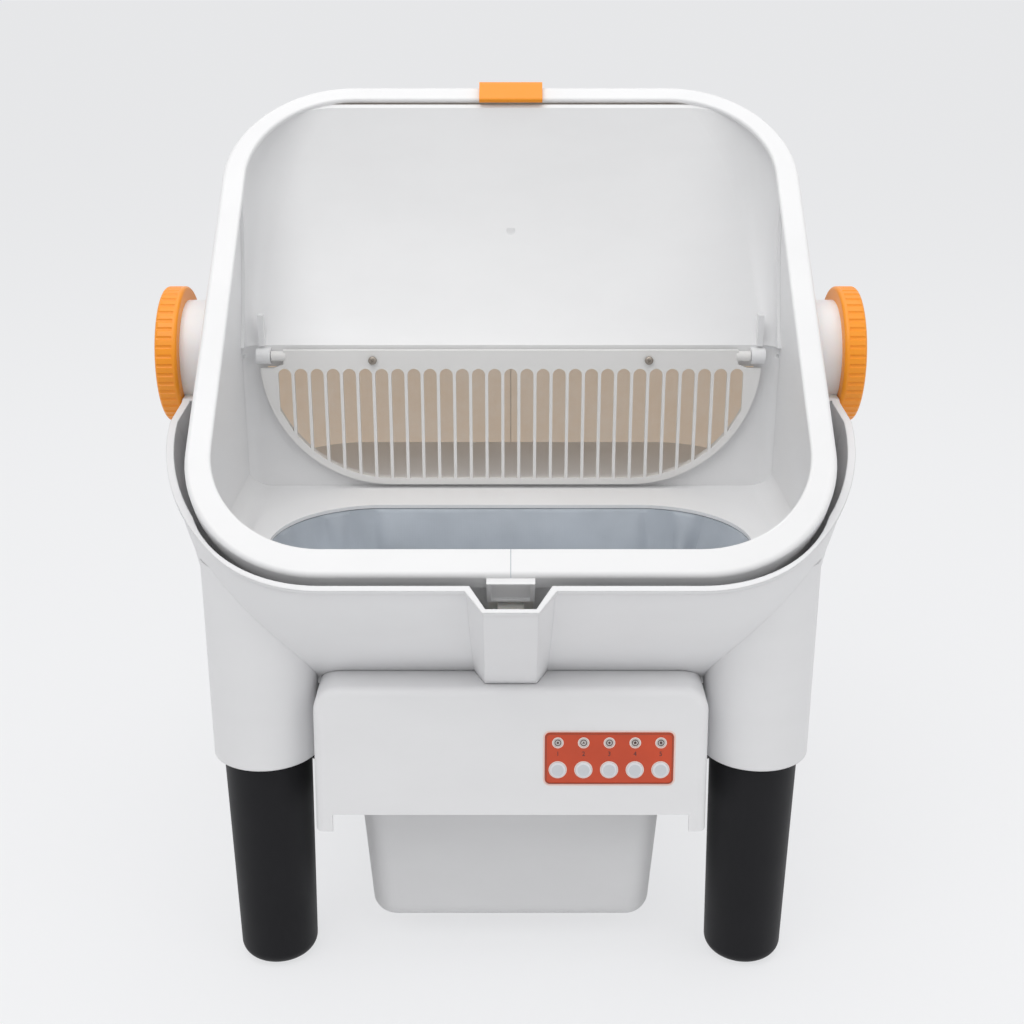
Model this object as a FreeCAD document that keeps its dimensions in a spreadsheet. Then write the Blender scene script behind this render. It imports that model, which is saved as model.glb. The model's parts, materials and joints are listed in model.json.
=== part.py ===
import FreeCAD, Part
import math
import os
import re
import Sketcher
from FreeCAD import Placement, Rotation, Vector

# Self-cleaning litter box. A tub with a rounded square mouth turns on two trunnions in a base with four legs.
# Everything is drawn about the trunnion axis: X to the right, Y to the back, Z up, in millimetres.
# Each finished piece is then raised to the axis height, so that the feet stand on Z = 0.

SIZES = {
    "axis_height": (480, "trunnion axis above the floor"),
    "axis_y": (-12.95, "trunnion axis in front of or behind the origin"),
    "wall": (3, "moulded wall of the tub and covers"),
    "drum_radius": (250, "outside of the tub's round belly"),
    "drum_flat": (145, "half width of the belly's straight middle"),
    "drum_corner": (100, "radius of the belly's shoulder"),
    "mouth_tilt": (39.3, "slope of the mouth, low at the front, in degrees"),
    "mouth_offset": (66.5, "mouth plane above the axis"),
    "rim_long": (252, "half length of the rim along the slope"),
    "rim_wide": (251.5, "half width of the rim"),
    "rim_corner": (110, "corner radius of the rim's outside"),
    "rim_width": (20, "width of the rim's top face"),
    "mouth_shift": (3.5, "how far the mouth's opening sits towards the back of the rim"),
    "rim_thick": (4, "thickness of the rim's top"),
    "rim_skirt": (18, "depth of the rim's outer skirt"),
    "fit_gap": (0.08, "gap between the tub's wall and the parts fitted in it"),
    "seam": (0.5, "gap between the two tub mouldings"),
    "hub_radius": (46, "trunnion hub"),
    "hub_flange": (3.3, "thickness of the hub's flange on the tub"),
    "hub_end": (274.5, "outer end of the hub from the middle"),
    "knob_radius": (57.5, "handwheel over its ridges"),
    "knob_width": (18.5, "handwheel thickness"),
    "ridge_count": (47, "grip grooves round a handwheel"),
    "hull_radius": (272, "outside of the base's hull"),
    "hull_flat": (140, "half width of the hull's straight middle"),
    "hull_side": (276, "half width of the hull at its widest"),
    "hull_side_rise": (86, "distance of the widest place from the axis"),
    "shoulder_small": (106, "radius of the hull's shoulder near its straight middle"),
    "hull_axis_wide": (270.5, "half width of the hull at the axis"),
    "hull_wall": (3.2, "wall of the hull"),
    "belly_radius": (265, "outside of the hull's lower bulge"),
    "belly_drop": (20, "centre of the lower bulge below the axis"),
    "belly_corner": (113, "radius of the bulge's shoulder"),
    "belly_axis_wide": (267, "half width of the bulge at its centre"),
    "channel_radius": (295.5, "outside of the centre channel"),
    "channel_front": (20, "half width of the channel's outer face"),
    "channel_root": (33, "half width of the channel where it leaves the hull"),
    "shoulder_large": (
        "=((hull_side - hull_flat)^2 + (hull_radius - hull_side_rise - shoulder_small)^2 - shoulder_small^2)"
        " / (2 * (hull_side - hull_flat - shoulder_small))",
        "radius of the hull's shoulder near its side, tangent to the small one",
    ),
    "shoulder_turn": (
        "=(shoulder_large - hull_side + hull_flat) / (shoulder_large - shoulder_small)",
        "cosine of the angle at which the two arcs meet",
    ),
    "lip_out": (3, "how far the lip stands out of the hull"),
    "lip_depth": (3.5, "depth of the lip"),
    "lip_slope": (24, "slope of the lip from the front to the saddles, in degrees"),
    "lip_level": (26, "lip below the axis at the saddles and the back"),
    "saddle_front": (50, "where the sloped lip meets the level one"),
    "saddle_radius": (52, "notch in the hull for the saddle bush"),
    "leg_x": (198, "leg centre to the side"),
    "leg_y": (170, "leg centre to the front and back"),
    "leg_top_radius": (35.5, "leg just under its sleeve"),
    "leg_foot_radius": (32, "leg at the floor"),
    "pad_radius": (18, "rubber pad under a leg"),
    "sleeve_radius": (43, "outside of a leg sleeve"),
    "sleeve_bore": (39.6, "inside of a leg sleeve"),
    "sleeve_mouth": (195, "bottom of the sleeves above the floor"),
    "sleeve_top": (364, "top of the sleeves above the floor"),
    "frame_x": (139, "outside of the frame under the hull"),
    "frame_back": (165, "back of the frame under the hull"),
    "frame_front": (-172, "front of the frame under the hull"),
    "frame_bottom": (146, "bottom of the frame above the floor"),
    "port_x": (95, "half width of the waste port"),
    "port_front": (-106, "front edge of the waste port"),
    "port_back": (72, "back edge of the waste port"),
    "gear_module": (3, "module of the toothed track"),
    "track_teeth": (180, "teeth that a full turn of the track would have"),
    "pinion_teeth": (16, "teeth of the pinion"),
    "gear_width": (20, "width of the track's teeth"),
    "pinion_distance": (
        "=gear_module * (track_teeth + pinion_teeth) / 2", "pinion axis from the trunnion axis"
    ),
    "pinion_angle": (240, "place of the pinion round the axis, in degrees from the back"),
    "shaft_radius": (4, "pinion shaft"),
    "bush_radius": (7, "outside of a shaft bush"),
    "boss_end": (34, "outer face of the bosses beside the channel"),
    "cover_x": (153.5, "half width of the control cover"),
    "cover_top": (269, "top of the control cover above the floor"),
    "cover_face": (-218, "front face of the cover at its upper edge"),
    "cover_face_top": (262, "height at which the front face starts"),
    "cover_face_tilt": (7, "slope of the front face, foot forward, in degrees"),
    "cover_front_low": (166, "lower edge of the cover's front wall"),
    "cover_side_low": (152, "lower edge of the cover's side walls"),
    "cover_corner": (20, "upper corner radius of the cover"),
    "panel_x": (76.5, "middle of the control panel to the right"),
    "panel_up": (213.2, "middle of the control panel above the floor"),
    "panel_wide": (100, "control panel width"),
    "panel_high": (42.5, "control panel height"),
    "button_pitch": (20, "spacing of the buttons"),
    "button_radius": (6.3, "button cap"),
    "button_up": (-9.3, "button centres from the middle of the panel"),
    "lens_up": (13, "indicator centres from the middle of the panel"),
    "lens_radius": (3.9, "indicator lens"),
    "bin_top_x": (126.3, "half width of the bin at its top"),
    "bin_low_x": (117, "half width of the bin at its bottom"),
    "bin_front": (-176, "front of the bin"),
    "bin_back": (130, "back of the bin"),
    "bin_top": (160, "top of the bin above the floor"),
    "bin_bottom": (26, "bottom of the bin above the floor"),
    "bin_corner": (21, "corner radius of the bin"),
    "hinge_y": (60.5, "grate hinge behind the axis"),
    "hinge_z": (-17, "grate hinge below the axis"),
    "grate_top": (-11, "top of the grate's band"),
    "grate_low": (-138, "bottom of the grate"),
    "grate_x": (226, "half width of the grate under its bearings"),
    "band_x": (205, "half width of the grate between its bearings"),
    "grate_flat": (110, "half width of the grate's straight bottom"),
    "grate_round": (116, "radius of the grate's lower corners"),
    "grate_shoulder": ("=hinge_z - 10.5", "upper end of those corners"),
    "grate_end": (
        "=grate_flat + sqrt(grate_round^2 - (grate_low + grate_round - grate_shoulder)^2)",
        "half width of the grate at its shoulders",
    ),
    "grate_back": (61.5, "back face of the grate"),
    "grate_thick": (4, "thickness of the grate"),
    "riser_y": (66, "face of the wall behind the grate"),
    "tray_x": (242.2, "half width inside the tub's lower part"),
    "tray_corner": (18, "radius where the ledge meets the tub's sides"),
    "cove": (13, "radius where the wall behind the grate meets the tub's sides"),
    "rib_x": (224.5, "middle of the small ribs beside the grate's bearings"),
    "rib_half": (2.5, "half width of those ribs"),
    "slot_count": (29, "slots in the grate"),
    "slot_pitch": (14.6, "slot spacing"),
    "slot_width": (11.8, "slot width"),
    "slot_top": (-28, "top of the slots"),
    "ledge_z": (-142, "top of the ledge round the liner"),
    "liner_x": (201, "half width of the liner's mouth"),
    "liner_back": (-1, "back edge of the liner's mouth"),
    "liner_front": (-183, "front edge of the liner's mouth"),
    "liner_corner": (88, "corner radius of the liner's mouth"),
    "liner_floor": (-224, "bottom of the liner"),
    "ring_x": (219, "half width of the ring that clamps the liner"),
    "ring_back": (44, "back edge of the ring"),
    "ring_corner": (86, "outer corner radius of the ring"),
    "latch_x": (28.5, "half width of the rear latch"),
    "clip_x": (17.9, "half width of the front clip"),
    "clip_low": (35, "bottom of the front clip above the axis, square to the mouth"),
    "latch_pin_up": (50, "latch pin above the axis, square to the mouth"),
    "latch_pin_along": (255.6, "latch pin behind the axis, along the mouth"),
}

doc = FreeCAD.newDocument("litter_box")
sizes = doc.addObject("Spreadsheet::Sheet", "sizes")
nodes = []
SIDES = (("left", -1), ("right", 1))
REACH = 420


def fill_sheet():
    for row, (name, (amount, note)) in enumerate(SIZES.items(), 1):
        sizes.set("A%d" % row, name)
        sizes.set("B%d" % row, str(amount))
        sizes.setAlias("B%d" % row, name)
        sizes.set("C%d" % row, note)
    doc.recompute()


def bind(text):
    """An expression on the sheet, written with bare names."""
    return re.sub(r"[a-z_]+", lambda m: "sizes." * (m.group(0) in SIZES) + m.group(0), str(text))


def number(text):
    """The present value of an expression."""
    return float(sizes.evalExpression(str(text)))


# Sketches

PLANES = {
    "top": (Rotation(), "XY_Plane"),
    "front": (Rotation(Vector(1, 0, 0), 90), "XZ_Plane"),
    "side": (Rotation(Vector(1, 1, 1), 120), "YZ_Plane"),
}


def hold_point(sketch, geometry, end, x, y):
    """Ties one end of a line or arc to the sheet."""
    for kind, text, axis in (("DistanceX", x, -2), ("DistanceY", y, -1)):
        amount = number(text)
        if abs(amount) < 1e-9:
            sketch.addConstraint(Sketcher.Constraint("PointOnObject", geometry, end, axis))
            continue
        index = sketch.addConstraint(Sketcher.Constraint(kind, -1, 1, geometry, end, amount))
        sketch.setExpression("Constraints[%d]" % index, bind(text))


def arc_between(start, end, radius):
    """The short arc from start to end; anticlockwise where the radius is positive."""
    chord = end - start
    across = Vector(-chord.y, chord.x, 0).normalize()
    rise = math.sqrt(max(radius * radius - chord.Length ** 2 / 4, 0))
    centre = (start + end) * 0.5 + across * math.copysign(rise, radius)
    first, last = (start, end) if radius > 0 else (end, start)
    circle = Part.Circle(centre, Vector(0, 0, 1), abs(radius))
    return Part.ArcOfCircle(circle, circle.parameter(first), circle.parameter(last))


def draw(sketch, corners):
    """A closed outline. A corner is (x, y), or (x, y, radius) where an arc leads to it."""
    points = [Vector(number(c[0]), number(c[1]), 0) for c in corners]
    ends = []
    for i, corner in enumerate(corners):
        start, end = points[i - 1], points[i]
        if len(corner) == 2:
            geometry = sketch.addGeometry(Part.LineSegment(start, end), False)
            ends.append((geometry, 1, 2))
            continue
        radius = number(corner[2])
        geometry = sketch.addGeometry(arc_between(start, end, radius), False)
        ends.append((geometry, 1, 2) if radius > 0 else (geometry, 2, 1))
        index = sketch.addConstraint(Sketcher.Constraint("Radius", geometry, abs(radius)))
        sketch.setExpression("Constraints[%d]" % index, "abs(%s)" % bind(corner[2]))
    for i, corner in enumerate(corners):
        geometry, _, last = ends[i]
        following, first, _ = ends[(i + 1) % len(ends)]
        sketch.addConstraint(Sketcher.Constraint("Coincident", geometry, last, following, first))
        hold_point(sketch, geometry, last, corner[0], corner[1])


def draw_circle(sketch, x, y, radius):
    circle = Part.Circle(Vector(number(x), number(y), 0), Vector(0, 0, 1), number(radius))
    geometry = sketch.addGeometry(circle, False)
    index = sketch.addConstraint(Sketcher.Constraint("Radius", geometry, number(radius)))
    sketch.setExpression("Constraints[%d]" % index, bind(radius))
    hold_point(sketch, geometry, 3, x, y)


def fill(sketch, outlines):
    for outline in outlines:
        if outline[0] == "circle":
            draw_circle(sketch, *outline[1:])
        else:
            draw(sketch, outline)
    return sketch


def rectangle(left, low, right, high):
    return [(left, low), (right, low), (right, high), (left, high)]


def rounded(left, low, right, high, radius):
    """A rectangle with round corners."""
    inner = {
        "left": "(%s) + (%s)" % (left, radius),
        "right": "(%s) - (%s)" % (right, radius),
        "low": "(%s) + (%s)" % (low, radius),
        "high": "(%s) - (%s)" % (high, radius),
    }
    return [
        (inner["left"], low, radius),
        (inner["right"], low),
        (right, inner["low"], radius),
        (right, inner["high"]),
        (inner["right"], high, radius),
        (inner["left"], high),
        (left, inner["high"], radius),
        (left, inner["low"]),
    ]


def mirrored(half):
    """A closed outline, symmetric about X = 0, from its right half."""
    left = []
    for i in reversed(range(len(half))):
        radius = half[i + 1][2:] if i + 1 < len(half) else ()
        left.append(("-(%s)" % half[i][0], half[i][1]) + tuple(radius))
    return list(half) + left


def sketch_on(name, plane, outlines, offset="0"):
    """A sketch of its own on a main plane or parallel to the mouth, moved along the plane's normal."""
    sketch = doc.addObject("Sketcher::SketchObject", name + "_sketch")
    if plane == "mouth":
        sketch.Placement = Placement(Vector(), Rotation(Vector(1, 0, 0), number("mouth_tilt")))
        sketch.setExpression("Placement.Base.y", bind("-(%s) * sin(mouth_tilt)" % offset))
        sketch.setExpression("Placement.Base.z", bind("(%s) * cos(mouth_tilt)" % offset))
        return fill(sketch, outlines)
    turn = PLANES[plane][0]
    sketch.Placement = Placement(Vector(), turn)
    letter, sign = {"top": ("z", 1), "front": ("y", -1), "side": ("x", 1)}[plane]
    if str(offset) != "0":
        sketch.setExpression("Placement.Base." + letter, "%d * (%s)" % (sign, bind(offset)))
    return fill(sketch, outlines)


# Solids made from sketches and primitives


def set_place(item, x, y, z):
    for letter, text in (("x", x), ("y", y), ("z", z)):
        if str(text) != "0":
            item.setExpression("Placement.Base." + letter, bind(text))
    return item


def extrude(name, plane, outlines, length, offset="0", both=False):
    """A prism. It grows to both sides of the plane where both is set."""
    solid = doc.addObject("Part::Extrusion", name)
    solid.Base = sketch_on(name, plane, outlines, offset)
    solid.DirMode = "Normal"
    solid.Solid = True
    solid.Symmetric = both
    solid.setExpression("LengthFwd", bind(length))
    return solid


def revolve(name, outline, drop="0"):
    """A body of revolution about the X direction, its axis lowered by drop."""
    solid = doc.addObject("Part::Revolution", name)
    sketch = sketch_on(name, "top", [outline], "-(%s)" % drop)
    solid.Source = sketch
    solid.setExpression("Base.z", "-(%s)" % bind(drop))
    solid.Axis = Vector(1, 0, 0)
    solid.Angle = 360
    solid.Solid = True
    return solid


def box(name, low, high):
    """A block between two corners."""
    solid = doc.addObject("Part::Box", name)
    for side, start, end in zip(("Length", "Width", "Height"), low, high):
        solid.setExpression(side, bind("(%s) - (%s)" % (end, start)))
    return set_place(solid, *low)


AXES = {
    "x": Rotation(Vector(0, 1, 0), 90),
    "-x": Rotation(Vector(0, 1, 0), -90),
    "y": Rotation(Vector(1, 0, 0), -90),
    "-y": Rotation(Vector(1, 0, 0), 90),
    "z": Rotation(),
    "-z": Rotation(Vector(1, 0, 0), 180),
}


def cylinder(name, radius, length, start, axis="z"):
    solid = doc.addObject("Part::Cylinder", name)
    solid.setExpression("Radius", bind(radius))
    solid.setExpression("Height", bind(length))
    solid.Placement = Placement(Vector(), AXES[axis])
    return set_place(solid, *start)


def fuse(name, parts):
    solid = doc.addObject("Part::MultiFuse", name)
    solid.Shapes = parts
    solid.Refine = True
    return solid


def cut(name, base, tools):
    solid = doc.addObject("Part::Cut", name)
    solid.Base = base
    solid.Tool = tools[0] if len(tools) == 1 else fuse(name + "_tools", tools)
    return solid


def common(name, parts):
    solid = doc.addObject("Part::MultiCommon", name)
    solid.Shapes = parts
    return solid


def group(name, parts):
    """Several separate solids of one kind, or a second place for one."""
    solid = doc.addObject("Part::Compound", name)
    solid.Links = parts
    return solid


def given(name, shape):
    """A piece whose form follows from the sheet's numbers by calculation."""
    solid = doc.addObject("Part::Feature", name)
    solid.Shape = shape
    return solid


def screw(name, shank, length, head, start, axis):
    """A round-headed screw. It starts under its head and goes along the axis, its head the other way."""
    back = axis[1:] if axis.startswith("-") else "-" + axis
    body = cylinder(name + "_shank", shank, length, start, axis)
    cap = cylinder(name + "_head", head, "(%s) * 0.6" % head, start, back)
    return fuse(name, [body, cap])


def finish(item, label, x="0", y="0", z="0"):
    """Names a finished piece and puts it in the object's own frame, with the trunnion axis at its height."""
    item.Label = label
    set_place(item, x, "(%s) + axis_y" % y, "(%s) + axis_height" % z)
    nodes.append(item)
    return item


# Bodies with features


def new_body(name):
    return doc.addObject("PartDesign::Body", name)


def body_sketch(body, name, plane, outlines, offset="0", tilt="0"):
    """A sketch on one of a body's own planes, moved along its normal and tilted where tilt is set."""
    sketch = body.newObject("Sketcher::SketchObject", name)
    support = next(f for f in body.Origin.OriginFeatures if f.Role == PLANES[plane][1])
    sketch.AttachmentSupport = [(support, "")]
    sketch.MapMode = "FlatFace"
    if tilt != "0":
        sketch.AttachmentOffset = Placement(Vector(), Rotation(Vector(1, 0, 0), number(tilt)))
        sketch.setExpression("AttachmentOffset.Base.y", bind("-(%s) * sin(%s)" % (offset, tilt)))
        sketch.setExpression("AttachmentOffset.Base.z", bind("(%s) * cos(%s)" % (offset, tilt)))
    elif str(offset) != "0":
        sketch.setExpression("AttachmentOffset.Base.z", bind(offset))
    return fill(sketch, outlines)


def pad(body, sketch, length, back=False, both=False):
    feature = body.newObject("PartDesign::Pad", sketch.Name + "_pad")
    feature.Profile = sketch
    feature.Midplane = both
    feature.Reversed = back
    feature.setExpression("Length", bind(length))
    return feature


def pocket(body, sketch, length, back=False, both=False):
    feature = body.newObject("PartDesign::Pocket", sketch.Name + "_pocket")
    feature.Profile = sketch
    feature.Midplane = both
    feature.Reversed = back
    feature.setExpression("Length", bind(length))
    return feature


def spin(body, sketch, axis="H_Axis"):
    feature = body.newObject("PartDesign::Revolution", sketch.Name + "_turned")
    feature.Profile = sketch
    feature.ReferenceAxis = (sketch, [axis])
    feature.Angle = 360
    return feature


def soften(body, feature, radius, test):
    """Rounds the edges of a feature whose middle passes the test."""
    doc.recompute()
    names = []
    for i, edge in enumerate(feature.Shape.Edges, 1):
        middle = edge.valueAt((edge.FirstParameter + edge.LastParameter) / 2)
        if test(middle):
            names.append("Edge%d" % i)
    rounding = body.newObject("PartDesign::Fillet", feature.Name + "_soft")
    rounding.Base = (feature, names)
    rounding.setExpression("Radius", bind(radius))
    return rounding


def ring_pattern(body, feature, sketch, axis, count):
    pattern = body.newObject("PartDesign::PolarPattern", feature.Name + "_ring")
    pattern.Originals = [feature]
    pattern.Axis = (sketch, [axis])
    pattern.Angle = 360
    pattern.setExpression("Occurrences", bind(count))
    body.Tip = pattern
    return pattern


# Forms that several pieces share


def shell_profile(radius, flat, corner, axis_wide):
    """Section of a body of revolution with round shoulders."""
    return mirrored([
        (axis_wide, "0"),
        ("(%s) + (%s)" % (flat, corner), "(%s) - (%s)" % (radius, corner)),
        (flat, radius, corner),
    ])


def tub_inside(name, gap):
    """The space inside the tub's belly, smaller by a gap."""
    inset = "(wall + %s)" % gap
    radius = "drum_radius - " + inset
    corner = "drum_corner - " + inset
    return revolve(name, shell_profile(radius, "drum_flat", corner, "drum_flat + " + corner))


def hull_profile(grow, channel_grow):
    """Section of the hull, grown evenly: a centre channel, shoulders of two arcs, sides that dip in."""
    small = "(shoulder_small + %s)" % grow
    right = [
        ("hull_axis_wide + %s" % grow, "0"),
        ("hull_axis_wide + %s" % grow, "saddle_radius + 10"),
        ("hull_side + %s" % grow, "hull_side_rise"),
        (
            "hull_flat + %s * shoulder_turn" % small,
            "hull_radius - shoulder_small + %s * sqrt(1 - shoulder_turn^2)" % small,
            "shoulder_large + %s" % grow,
        ),
        ("hull_flat", "hull_radius + %s" % grow, small),
        ("channel_root + 0.7 * %s" % channel_grow, "hull_radius + %s" % grow),
        ("channel_front + 0.5 * %s" % channel_grow, "channel_radius + %s" % channel_grow),
    ]
    return mirrored(right)


def hull_solid(name, grow):
    """The hull's form as a full solid: a round belly with a centre channel, and a lower bulge."""
    lower = shell_profile(
        "belly_radius + %s" % grow, "hull_flat", "belly_corner + %s" % grow, "belly_axis_wide + %s" % grow
    )
    parts = [
        revolve(name + "_upper", hull_profile(grow, grow)), revolve(name + "_lower", lower, "belly_drop")
    ]
    return fuse(name, parts)


def mouth_point(up, along):
    """The Y and Z of a point, given square to the mouth and along its slope towards the back."""
    y = "(%s) * cos(mouth_tilt) - (%s) * sin(mouth_tilt)" % (along, up)
    z = "(%s) * sin(mouth_tilt) + (%s) * cos(mouth_tilt)" % (along, up)
    return y, z


def above_mouth(name, level):
    """Everything on the open side of a plane parallel to the mouth."""
    return extrude(name, "mouth", [rectangle(-REACH, -REACH, REACH, REACH)], REACH, level)


def turned(name, item):
    """A piece drawn straight above the axis, swung round it to the pinion's place."""
    solid = group(name, [item])
    solid.Placement = Placement(Vector(), Rotation(Vector(1, 0, 0), number("pinion_angle - 90")))
    return solid


# The tub


def rim():
    """The rounded square rim: a flat top, a skirt outside and round upper edges."""
    body = new_body("rim")
    outer = rounded("-rim_wide", "-rim_long", "rim_wide", "rim_long", "rim_corner")
    block = pad(
        body,
        body_sketch(body, "rim_outline", "top", [outer], "mouth_offset", "mouth_tilt"),
        "rim_skirt",
        back=True,
    )
    top = number("mouth_offset")
    tilt = math.radians(number("mouth_tilt"))

    def on_top(point):
        return abs(point.z * math.cos(tilt) - point.y * math.sin(tilt) - top) < 0.01

    soften(body, block, "rim_thick", on_top)
    hollow = rounded(
        "wall - rim_wide", "wall - rim_long", "rim_wide - wall", "rim_long - wall", "rim_corner - wall"
    )
    under = body_sketch(body, "rim_hollow", "top", [hollow], "mouth_offset - rim_thick", "mouth_tilt")
    pocket(body, under, "rim_skirt")
    wide = "rim_wide - rim_width"
    front, back = "rim_width - rim_long + mouth_shift", "rim_long - rim_width + mouth_shift"
    hole = rounded("-(%s)" % wide, front, wide, back, "rim_corner - rim_width")
    opening = pocket(
        body, body_sketch(body, "rim_hole", "top", [hole], "mouth_offset", "mouth_tilt"), "rim_skirt"
    )

    def on_hole(point):
        along = point.y * math.cos(tilt) + point.z * math.sin(tilt)
        inside = abs(point.x) < number(wide) + 0.1 and number(front) - 0.1 < along < number(back) + 0.1
        return on_top(point) and inside

    soften(body, opening, "rim_thick * 0.6", on_hole)
    return body


def latch_lugs():
    """Two ears on the back of the skirt that carry the latch pin."""
    ears = []
    for side, sign in SIDES:
        low = mouth_point("latch_pin_up - 4", "rim_long - 1")
        high = mouth_point("latch_pin_up + 4", "rim_long - 1")
        end_high = mouth_point("latch_pin_up + 3.3", "latch_pin_along + 0.5")
        end_low = mouth_point("latch_pin_up - 3.3", "latch_pin_along + 0.5")
        outline = [low, (end_low[0], end_low[1]), (end_high[0], end_high[1], 3.4), high]
        start = "19.5" if sign > 0 else "-24.5"
        ears.append(extrude("latch_lug_" + side, "side", [outline], 5, start))
    pin = extrude(
        "latch_pin_bore",
        "side",
        [["circle", *mouth_point("latch_pin_up", "latch_pin_along"), "1.5"]],
        60,
        both=True,
    )
    return [cut(ear.Name + "_drilled", ear, [pin]) for ear in ears]


def tub(hub_screws, track_screws):
    """Belly, rim and lugs, split at the centre seam into two mouldings."""
    belly = revolve(
        "belly", shell_profile("drum_radius", "drum_flat", "drum_corner", "drum_flat + drum_corner")
    )
    shell = cut(
        "belly_shell", belly, [tub_inside("belly_space", 0), above_mouth("over_belly", "mouth_offset - 1")]
    )
    whole = fuse("tub_whole", [shell, rim()] + latch_lugs())
    drilled = cut("tub_drilled", cut("tub_hub_drilled", whole, hub_screws), [track_screws])
    for side, sign in SIDES:
        low, high = ("-hub_end", "-seam / 2") if sign < 0 else ("seam / 2", "hub_end")
        half = box("half_" + side, (low, "-hub_end", "-hub_end"), (high, "hub_end", "hub_end"))
        finish(common("tub_half_" + side, [drilled, half]), "tub_half_" + side)


def hubs():
    """The white trunnions: a flange on the tub's side and a neck that rests in the saddle."""
    side_x = "drum_flat + drum_corner"
    screws = []
    for side, sign in SIDES:
        outline = [
            (side_x, "14"),
            ("hub_end", "14"),
            ("hub_end", "hub_radius"),
            (side_x + " + 6", "hub_radius"),
            (side_x + " + hub_flange", "hub_radius + 6 - hub_flange", "hub_flange - 6"),
            (side_x + " + hub_flange", "hub_radius + 10"),
            (side_x, "hub_radius + 10"),
        ]
        if sign < 0:
            outline = [("-(%s)" % c[0], c[1]) + tuple("-(%s)" % r for r in c[2:]) for c in outline]
        hub = revolve("hub_form_" + side, outline)
        toward = "-x" if sign > 0 else "x"
        places = [math.radians(45 + 90 * i) for i in range(4)]
        set_of_screws = []
        for i, angle in enumerate(places):
            y = "(hub_radius + 5.5) * %.6f" % math.cos(angle)
            z = "(hub_radius + 5.5) * %.6f" % math.sin(angle)
            start = ("%d * (%s + hub_flange)" % (sign, side_x), y, z)
            set_of_screws.append(
                screw("hub_screw_%s_%d" % (side, i), "2", "hub_flange + 2.8", "3.6", start, toward)
            )
        screws += set_of_screws
        centre = cylinder("hub_plug_" + side, "14.2", "8", ("%d * hub_end" % sign, "0", "0"), toward)
        solid = fuse("hub_solid_" + side, [hub, centre])
        thread = knob_screw(side, sign)
        finish(cut("hub_" + side, solid, set_of_screws + [thread]), "hub_" + side)
    finish(group("hub_screws", screws), "hub_screws")
    return screws


def knob_screw(side, sign):
    toward = "-x" if sign > 0 else "x"
    start = ("%d * (hub_end + 9)" % sign, "0", "0")
    return screw("knob_screw_" + side, "2.5", "16", "5", start, toward)


def knobs():
    """The orange handwheels: a rounded rim with grip grooves and a dished outer face."""
    for side, sign in SIDES:
        body = new_body("knob_form_" + side)
        x = "%d * (hub_end + %%s)" % sign
        edge = 3.5 * sign
        outline = [
            (x % "0", "16"),
            (x % "0", "knob_radius - 3"),
            (x % "3", "knob_radius", -3 * sign),
            (x % "knob_width - 3.5", "knob_radius"),
            (x % "knob_width", "knob_radius - 3.5", -edge),
            (x % "knob_width", "knob_radius - 12"),
            (x % "knob_width - 5", "knob_radius - 18"),
            (x % "knob_width - 5", "14"),
            (x % "9", "12"),
            (x % "9", "2.5"),
            (x % "0", "2.5"),
        ]
        profile = body_sketch(body, "knob_profile_" + side, "top", [outline])
        spin(body, profile)
        groove = body_sketch(
            body, "knob_groove_" + side, "side", [
                ["circle", "knob_radius + 1", "0", "2"]
            ], "%d * (hub_end + 4)" % sign
        )
        first = pocket(body, groove, "knob_width", back=sign > 0)
        ring_pattern(body, first, profile, "H_Axis", "ridge_count")
        finish(cut("knob_" + side, body, [knob_screw("cut_" + side, sign)]), "knob_" + side)
    finish(group("knob_screws", [knob_screw("own_" + side, sign) for side, sign in SIDES]), "knob_screws")


def tooth_track():
    """The toothed track: a band round the underside of the tub, its teeth in step with the pinion."""
    module = number("gear_module")
    pitch = module * number("track_teeth") / 2
    slope = math.tan(math.radians(20))
    half_pitch = math.pi * module / 4 - 0.15
    step = 2 * math.pi / number("track_teeth")
    middle = math.radians(number("pinion_angle"))
    inner = number("drum_radius")
    root, tip = pitch - 1.25 * module, pitch + module
    first, last = -13, 84

    def at(radius, angle):
        return Vector(0, radius * math.cos(angle), radius * math.sin(angle))

    outside = []
    for k in range(first, last + 1):
        centre = middle + k * step
        low = (half_pitch + (pitch - root) * slope) / root
        high = (half_pitch - (tip - pitch) * slope) / tip
        outside += [
            at(root, centre - low), at(tip, centre - high), at(tip, centre + high), at(root, centre + low)
        ]
    start, end = middle + (first - 0.5) * step, middle + (last + 0.5) * step
    edges = [Part.LineSegment(at(inner, start), at(root, start)).toShape()]
    chain = [at(root, start)] + outside + [at(root, end)]
    edges += [Part.LineSegment(p, q).toShape() for p, q in zip(chain, chain[1:])]
    edges.append(Part.LineSegment(at(root, end), at(inner, end)).toShape())
    edges.append(Part.Arc(at(inner, end), at(inner, (start + end) / 2), at(inner, start)).toShape())
    wide = number("gear_width")
    teeth = Part.Face(Part.Wire(edges)).extrude(Vector(wide, 0, 0))
    teeth.translate(Vector(-wide / 2, 0, 0))
    foot = inner + 4
    sole = Part.Wire([
        Part.LineSegment(at(inner, start), at(foot, start)).toShape(),
        Part.Arc(at(foot, start), at(foot, (start + end) / 2), at(foot, end)).toShape(),
        Part.LineSegment(at(foot, end), at(inner, end)).toShape(),
        Part.Arc(at(inner, end), at(inner, (start + end) / 2), at(inner, start)).toShape(),
    ])
    flange = Part.Face(sole).extrude(Vector(wide + 14, 0, 0))
    flange.translate(Vector(-wide / 2 - 7, 0, 0))
    return teeth.fuse(flange).removeSplitter(), start, end


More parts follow.
